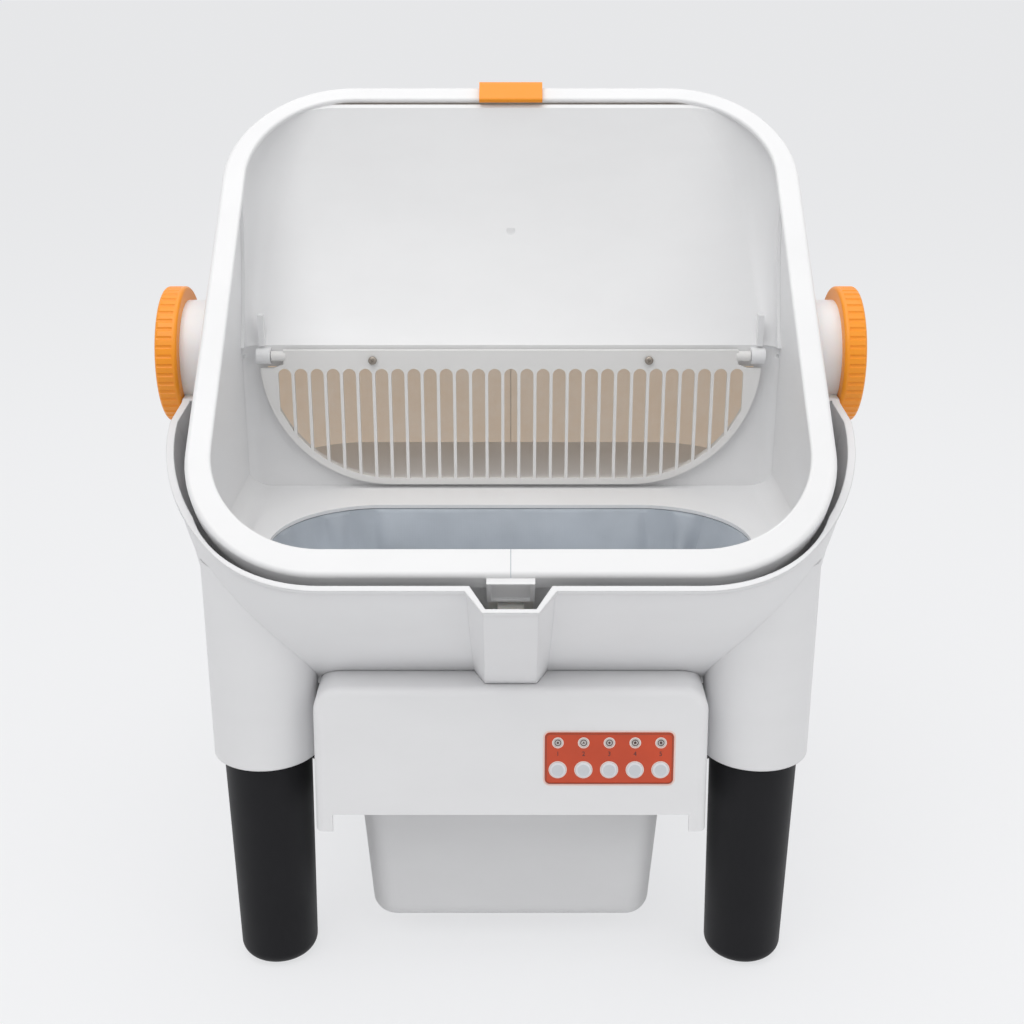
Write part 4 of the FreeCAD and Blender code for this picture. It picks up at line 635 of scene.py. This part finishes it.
def pleat_at(share, depth):
    """How far the cloth stands in at a place round the mouth, given as a share of the way."""
    total = 0.0
    narrowness, groove_away, groove_narrowness, groove_depth = 170, 1.7, 1.2, 0.6
    for corner, outer in ((0.041, 1), (0.209, 1), (0.541, -1), (0.709, -1)):
        across = (share - corner) * narrowness
        ridge = math.exp(-across * across)
        groove = math.exp(-(across - outer * groove_away) ** 2 * groove_narrowness) * groove_depth
        total += depth * (ridge - groove)
    return total


def fold_at(x, drop):
    """The soft slanting folds that run down and inwards from the pleats."""
    total = 0.0
    slant = 0.75
    for start, width, height in ((0.128, 0.011, 0.0026), (0.104, 0.016, -0.0018), (0.172, 0.008, -0.0020)):
        middle = start - drop * slant
        total += height * math.exp(-(((abs(x) - middle) / width) ** 2))
    return total


def liner_cut():
    """Width and length of the cloth laid flat: down each wall of the profile and across the floor."""
    low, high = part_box("liner")
    side, ahead, behind = LINER_PROFILE[-1][:3]
    sides, fronts, backs, _, drops = zip(*LINER_PROFILE)

    def down(insets):
        places = list(zip(insets, drops))
        return sum(math.dist(upper, lower) for upper, lower in zip(places, places[1:]))

    across = high.x - low.x - 2 * side + 2 * down(sides)
    along = high.y - low.y - ahead - behind + down(fronts) + down(backs)
    return across, along


def sag(cloth, settings):
    """Lets the cloth hang under its own weight from the held edge."""
    rest = [vertex.co.copy() for vertex in cloth.data.vertices]
    hang = cloth.modifiers.new("hang", "CLOTH")
    hang.settings.vertex_group_mass = "held"
    hang.settings.quality = 8
    hang.settings.mass = 0.25
    hang.settings.tension_stiffness = 22
    hang.settings.compression_stiffness = 12
    hang.settings.bending_stiffness = 1.2
    hang.settings.shrink_min = -settings.slack
    hang.point_cache.frame_start = 1
    hang.point_cache.frame_end = SAG_FRAMES
    for step in range(1, SAG_FRAMES + 1):
        bpy.context.scene.frame_set(step)
    only(cloth)
    bpy.ops.object.modifier_apply(modifier="hang")
    for vertex, start in zip(cloth.data.vertices, rest):
        move = vertex.co - start
        if move.length > LINER_SAG_LIMIT:
            vertex.co = start + move.normalized() * LINER_SAG_LIMIT
    bpy.context.scene.frame_set(1)


class LITTERBOX_OT_panel_marks(bpy.types.Operator):
    """Prints the panel: borders, rings round the lamps and keys, and plain numbers"""

    bl_idname = "litterbox.panel_marks"
    bl_label = "Panel marks"

    def execute(self, context):
        film_ink = moulded("print_film", (0.88, 0.66, 0.60), 0.4)
        pale = moulded("print_pale", (0.86, 0.74, 0.69), 0.4)
        grey = moulded("print_grey", (0.62, 0.64, 0.67), 0.35)
        brown = moulded("print_brown", (0.33, 0.055, 0.02), 0.4)
        dark = moulded("print_dark", (0.07, 0.03, 0.028), 0.45)
        low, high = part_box("control_panel")
        film = border_line("panel_film_edge", low, high, inside=-0.0030, width=0.0013, proud=-0.0006)
        line = border_line("panel_edge_line", low, high, inside=0.0010, width=0.0008, proud=PRINT_PROUD)
        rings, icons, digits = [], [], []
        for number in range(1, 6):
            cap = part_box("button_%d" % number)
            x = (cap[0].x + cap[1].x) / 2
            key, lamp_middle = on_face(KEY_UP), on_face(LAMP_UP)
            rings.append(printed_ring(x, key, *KEY_RING))
            rings.append(printed_ring(x, lamp_middle, *LAMP_RING))
            icons.append(printed_ring(x, lamp_middle, *ICON_RING))
            icons.append(lamp_mark(number + 1, x, lamp_middle))
            digits.append(panel_number(str(number), x, on_face((KEY_UP + LAMP_UP) / 2 + NUMBER_RISE)))
            name = "button_face_%d" % number
            face = printed_disc(name, ROUND_CORNERS, KEY_FACE_RADIUS, x, key, KEY_FACE_PROUD)
            face.data.materials.append(grey)
            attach(face, "button_%d" % number)
        inked = (
            (film, film_ink),
            (line, brown),
            (join(rings, "panel_rings"), pale),
            (join(icons, "lamp_icons"), dark),
            (join(digits, "panel_numbers"), dark),
        )
        for piece, ink in inked:
            piece.data.materials.append(ink)
            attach(piece, "base")
        return {"FINISHED"}


def on_face(up):
    """The height in the scene of a place on the panel, given along its leaning face from its middle."""
    low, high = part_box("control_panel")
    return (low.z + high.z) / 2 + up * math.cos(FACE_TILT) + PRINT_PROUD


def panel_face(z):
    """Where prints lie on the panel's face at a height: it leans back as it rises."""
    low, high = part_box("control_panel")
    return low.y - PRINT_PROUD + (z - low.z) * math.tan(FACE_TILT)


def on_panel(piece, x, z, proud=0.0):
    """Stands a flat piece up on the panel's leaning face."""
    turn = Matrix.Rotation(math.pi / 2 - FACE_TILT, 4, "X")
    piece.matrix_world = Matrix.Translation((x, panel_face(z) - proud, z)) @ turn
    return bake_place(piece)


def border_line(name, low, high, inside, width, proud):
    """A thin printed line round the plate, at a distance inside its edge."""
    bpy.ops.object.select_all(action="DESELECT")
    bpy.ops.mesh.primitive_plane_add(size=1, location=(0, 0, 0))
    line = named(name)
    wide = high.x - low.x - inside
    tall = (high.z - low.z) / math.cos(FACE_TILT) - inside
    line.scale = (wide, tall, 1)
    bake_place(line)
    bpy.ops.object.mode_set(mode="EDIT")
    bpy.ops.mesh.select_all(action="SELECT")
    bpy.ops.mesh.bevel(offset=0.004 - inside / 2, segments=8, affect="VERTICES")
    bpy.ops.mesh.select_all(action="SELECT")
    bpy.ops.mesh.inset(thickness=width, depth=0)
    bpy.ops.mesh.delete(type="FACE")
    bpy.ops.mesh.select_all(action="SELECT")
    bpy.ops.mesh.extrude_region_move(TRANSFORM_OT_translate={"value": (0, 0, LINE_THICK)})
    bpy.ops.mesh.select_all(action="SELECT")
    bpy.ops.mesh.normals_make_consistent(inside=False)
    bpy.ops.object.mode_set(mode="OBJECT")
    return on_panel(line, (low.x + high.x) / 2, (low.z + high.z) / 2, proud)


def printed_disc(name, corners, radius, x, z, proud):
    """A thin raised disc, or a shape with few corners, on the panel or a key."""
    bpy.ops.object.select_all(action="DESELECT")
    bpy.ops.mesh.primitive_circle_add(
        vertices=corners, radius=radius, fill_type="NGON", location=(0, 0, 0)
    )
    disc = named(name)
    bpy.ops.object.mode_set(mode="EDIT")
    bpy.ops.mesh.select_all(action="SELECT")
    bpy.ops.mesh.extrude_region_move(TRANSFORM_OT_translate={"value": (0, 0, PRINT_PROUD)})
    bpy.ops.mesh.select_all(action="SELECT")
    bpy.ops.mesh.normals_make_consistent(inside=False)
    bpy.ops.object.mode_set(mode="OBJECT")
    return on_panel(disc, x, z, proud)


def lamp_mark(corners, x, z):
    """A small plain mark in the middle of a lamp: a round dot for two, or a shape with that many corners."""
    if corners == 2:
        return printed_disc("lamp_mark", 24, DOT_RADIUS, x, z, 0)
    return printed_disc("lamp_mark", corners, MARK_RADIUS, x, z, 0)


def printed_ring(x, z, inner, outer):
    """A raised printed ring on the panel."""
    bpy.ops.object.select_all(action="DESELECT")
    bpy.ops.mesh.primitive_circle_add(
        vertices=ROUND_CORNERS, radius=outer, fill_type="NGON", location=(0, 0, 0)
    )
    ring = named("printed_ring")
    bpy.ops.object.mode_set(mode="EDIT")
    bpy.ops.mesh.select_all(action="SELECT")
    bpy.ops.mesh.inset(thickness=outer - inner, depth=0)
    bpy.ops.mesh.delete(type="FACE")
    bpy.ops.mesh.select_all(action="SELECT")
    bpy.ops.mesh.extrude_region_move(TRANSFORM_OT_translate={"value": (0, 0, PRINT_PROUD)})
    bpy.ops.mesh.select_all(action="SELECT")
    bpy.ops.mesh.normals_make_consistent(inside=False)
    bpy.ops.object.mode_set(mode="OBJECT")
    return on_panel(ring, x, z)


def panel_number(text, x, z):
    """One raised number on the panel."""
    bpy.ops.object.select_all(action="DESELECT")
    bpy.ops.object.text_add(location=(0, 0, 0))
    mark = bpy.context.object
    mark.data.body = text
    mark.data.size = NUMBER_SIZE
    mark.data.align_x = "CENTER"
    mark.data.align_y = "CENTER"
    mark.data.extrude = PRINT_PROUD
    bpy.ops.object.convert(target="MESH")
    mark = bpy.context.object
    return on_panel(mark, x, z)


class LITTERBOX_OT_screws(bpy.types.Operator):
    """Turns the screws that show: a domed head with a cross recess on a plain shank"""

    bl_idname = "litterbox.screws"
    bl_label = "Screws"

    def execute(self, context):
        tan_steel = metal("plated_steel", (0.42, 0.37, 0.32), 0.42)
        bright = bpy.data.materials["bright_steel"]
        sets = (
            ("grate_screws", "grate", GRATE_SCREW_RADIUS, Vector((0, -1, 0)), tan_steel),
            ("cover_screws", "base", COVER_SCREW_RADIUS, Vector((1, 0, 0)), bright),
            ("knob_screws", "tub", None, Vector((1, 0, 0)), bright),
        )
        for node, body, radius, outward, finish in sets:
            low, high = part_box(node)
            radius = radius or (high.z - low.z) / 2
            heads = []
            for side in (-1, 1):
                if outward.x:
                    place = Vector((side * high.x, (low.y + high.y) / 2, (low.z + high.z) / 2))
                    toward = Vector((side, 0, 0))
                else:
                    place = Vector((side * (high.x - radius), low.y, (low.z + high.z) / 2))
                    toward = outward
                reach = SCREW_REACH if outward.x else high.y - low.y
                heads.append(turned_screw(radius, reach, aimed(place, toward)))
            piece = join(heads, node.replace("screws", "cross_screws"))
            smooth(piece, 35)
            piece.data.materials.append(finish)
            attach(piece, body)
            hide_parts(node)
        return {"FINISHED"}


def turned_screw(radius, reach, place):
    """One screw, its outermost point at the place and its shank behind it."""
    bpy.ops.object.select_all(action="DESELECT")
    rise = radius * 0.6
    bpy.ops.mesh.primitive_cylinder_add(
        vertices=ROUND_CORNERS, radius=radius, depth=rise, location=(0, 0, -rise / 2)
    )
    screw = named("cross_screw")
    bpy.ops.object.mode_set(mode="EDIT")
    pick(screw, "EDGE", lambda edge: all(vertex.co.z > -1e-6 for vertex in edge.verts))
    bpy.ops.mesh.bevel(offset=rise * 0.7, segments=5, profile=0.5)
    pick(screw, "FACE", lambda face: face.normal.z < -0.9)
    bpy.ops.mesh.inset(thickness=radius * 0.55, depth=0)
    bpy.ops.mesh.extrude_region_move(TRANSFORM_OT_translate={"value": (0, 0, rise - reach)})
    bpy.ops.mesh.bevel(offset=radius * 0.12, segments=1)
    bpy.ops.object.mode_set(mode="OBJECT")
    for angle in (0, math.pi / 2):
        bpy.ops.object.select_all(action="DESELECT")
        bpy.ops.mesh.primitive_cube_add(size=1, location=(0, 0, 0), rotation=(0, 0, angle + math.pi / 4))
        blade = named("driver_blade")
        blade.scale = (radius * 1.15, radius * 0.24, rise * 0.95)
        bake_place(blade)
        bpy.ops.object.mode_set(mode="EDIT")
        pick(blade, "FACE", lambda face: face.normal.z < -0.9)
        bpy.ops.transform.resize(value=(0.45, 0.45, 1))
        bpy.ops.object.mode_set(mode="OBJECT")
        slot = screw.modifiers.new("recess", "BOOLEAN")
        slot.object = blade
        slot.operation = "DIFFERENCE"
        slot.solver = "EXACT"
        apply_all(screw)
        bpy.data.objects.remove(blade)
    screw.matrix_world = place
    return bake_place(screw)


class LITTERBOX_OT_stage(bpy.types.Operator):
    """Sets the floor, the light and the camera"""

    bl_idname = "litterbox.stage"
    bl_label = "Stage"

    def execute(self, context):
        studio = context.scene.litter_box_studio
        bpy.ops.object.select_all(action="DESELECT")
        bpy.ops.mesh.primitive_plane_add(size=160, location=(0, 0, 0))
        ground = named("floor")
        ground.data.materials.append(stage_material("floor_paper", studio.floor, (0.895, 0.9, 0.915), 0.25))
        lamp("key_softbox", (-0.7, -1.3, 2.6), (0, 0, 0.45), 2.0, 24)
        lamp("fill_softbox", (1.6, -1.2, 1.6), (0, 0, 0.4), 1.6, 6)
        lamp("top_softbox", (0.1, 0.3, 2.8), (0, 0, 0.5), 2.4, 18)
        light_world(0.55, (0.875, 0.88, 0.895))
        view = bpy.data.cameras.new("camera")
        view.lens = studio.lens
        view.sensor_width = 36
        view.shift_x = CAMERA_SHIFT / PHOTO_WIDTH
        view.clip_end = 60
        eye = bpy.data.objects.new("camera", view)
        context.collection.objects.link(eye)
        eye.location = studio.camera_place
        eye.rotation_euler = (math.pi / 2 - studio.camera_drop, 0, 0)
        context.scene.camera = eye
        context.scene.view_settings.view_transform = "Standard"
        return {"FINISHED"}


def lamp(name, place, target, size, power):
    light = bpy.data.lights.new(name, "AREA")
    light.shape = "SQUARE"
    light.size = size
    light.energy = power
    holder = bpy.data.objects.new(name, light)
    bpy.context.collection.objects.link(holder)
    holder.location = place
    holder.rotation_euler = (Vector(target) - Vector(place)).to_track_quat("-Z", "Y").to_euler()


def light_world(strength, backdrop):
    """Even light from all round, seen as a pale backdrop."""
    world = bpy.data.worlds.new("studio")
    bpy.context.scene.world = world
    world.use_nodes = True
    tree = world.node_tree
    tree.nodes.clear()
    output = tree.nodes.new("ShaderNodeOutputWorld")
    soft = tree.nodes.new("ShaderNodeBackground")
    soft.inputs["Strength"].default_value = strength
    soft.inputs["Color"].default_value = (1, 1, 1, 1)
    seen = tree.nodes.new("ShaderNodeBackground")
    seen.inputs["Color"].default_value = tuple(backdrop) + (1,)
    mix = tree.nodes.new("ShaderNodeMixShader")
    tree.links.new(seen_directly(tree), mix.inputs["Fac"])
    tree.links.new(soft.outputs[0], mix.inputs[1])
    tree.links.new(seen.outputs[0], mix.inputs[2])
    tree.links.new(mix.outputs[0], output.inputs["Surface"])


class LITTERBOX_PT_pieces(bpy.types.Panel):
    """The litter box's pieces"""

    bl_label = "Litter box"
    bl_idname = "LITTERBOX_PT_pieces"
    bl_space_type = "VIEW_3D"
    bl_region_type = "UI"
    bl_category = "Litter Box"

    def draw(self, context):
        for operator in PIECES:
            self.layout.operator(operator.bl_idname)
        for group in ("litter_box_plastics", "litter_box_liner", "litter_box_studio"):
            settings = getattr(context.scene, group)
            for name in settings.__annotations__:
                self.layout.prop(settings, name)


GROUPS = {
    "litter_box_plastics": LitterBoxPlastics,
    "litter_box_liner": LitterBoxLiner,
    "litter_box_studio": LitterBoxStudio,
}
PIECES = (
    LITTERBOX_OT_finishes,
    LITTERBOX_OT_liner,
    LITTERBOX_OT_panel_marks,
    LITTERBOX_OT_screws,
    LITTERBOX_OT_stage,
)


def register():
    for group in GROUPS.values():
        bpy.utils.register_class(group)
    for name, group in GROUPS.items():
        setattr(bpy.types.Scene, name, PointerProperty(type=group))
    for piece in PIECES:
        bpy.utils.register_class(piece)
    bpy.utils.register_class(LITTERBOX_PT_pieces)


def unregister():
    bpy.utils.unregister_class(LITTERBOX_PT_pieces)
    for piece in PIECES:
        bpy.utils.unregister_class(piece)
    for name, group in GROUPS.items():
        delattr(bpy.types.Scene, name)
        bpy.utils.unregister_class(group)


def main():
    register()
    for piece in PIECES:
        section, step = piece.bl_idname.split(".")
        getattr(getattr(bpy.ops, section), step)()


if __name__ == "__main__":
    main()
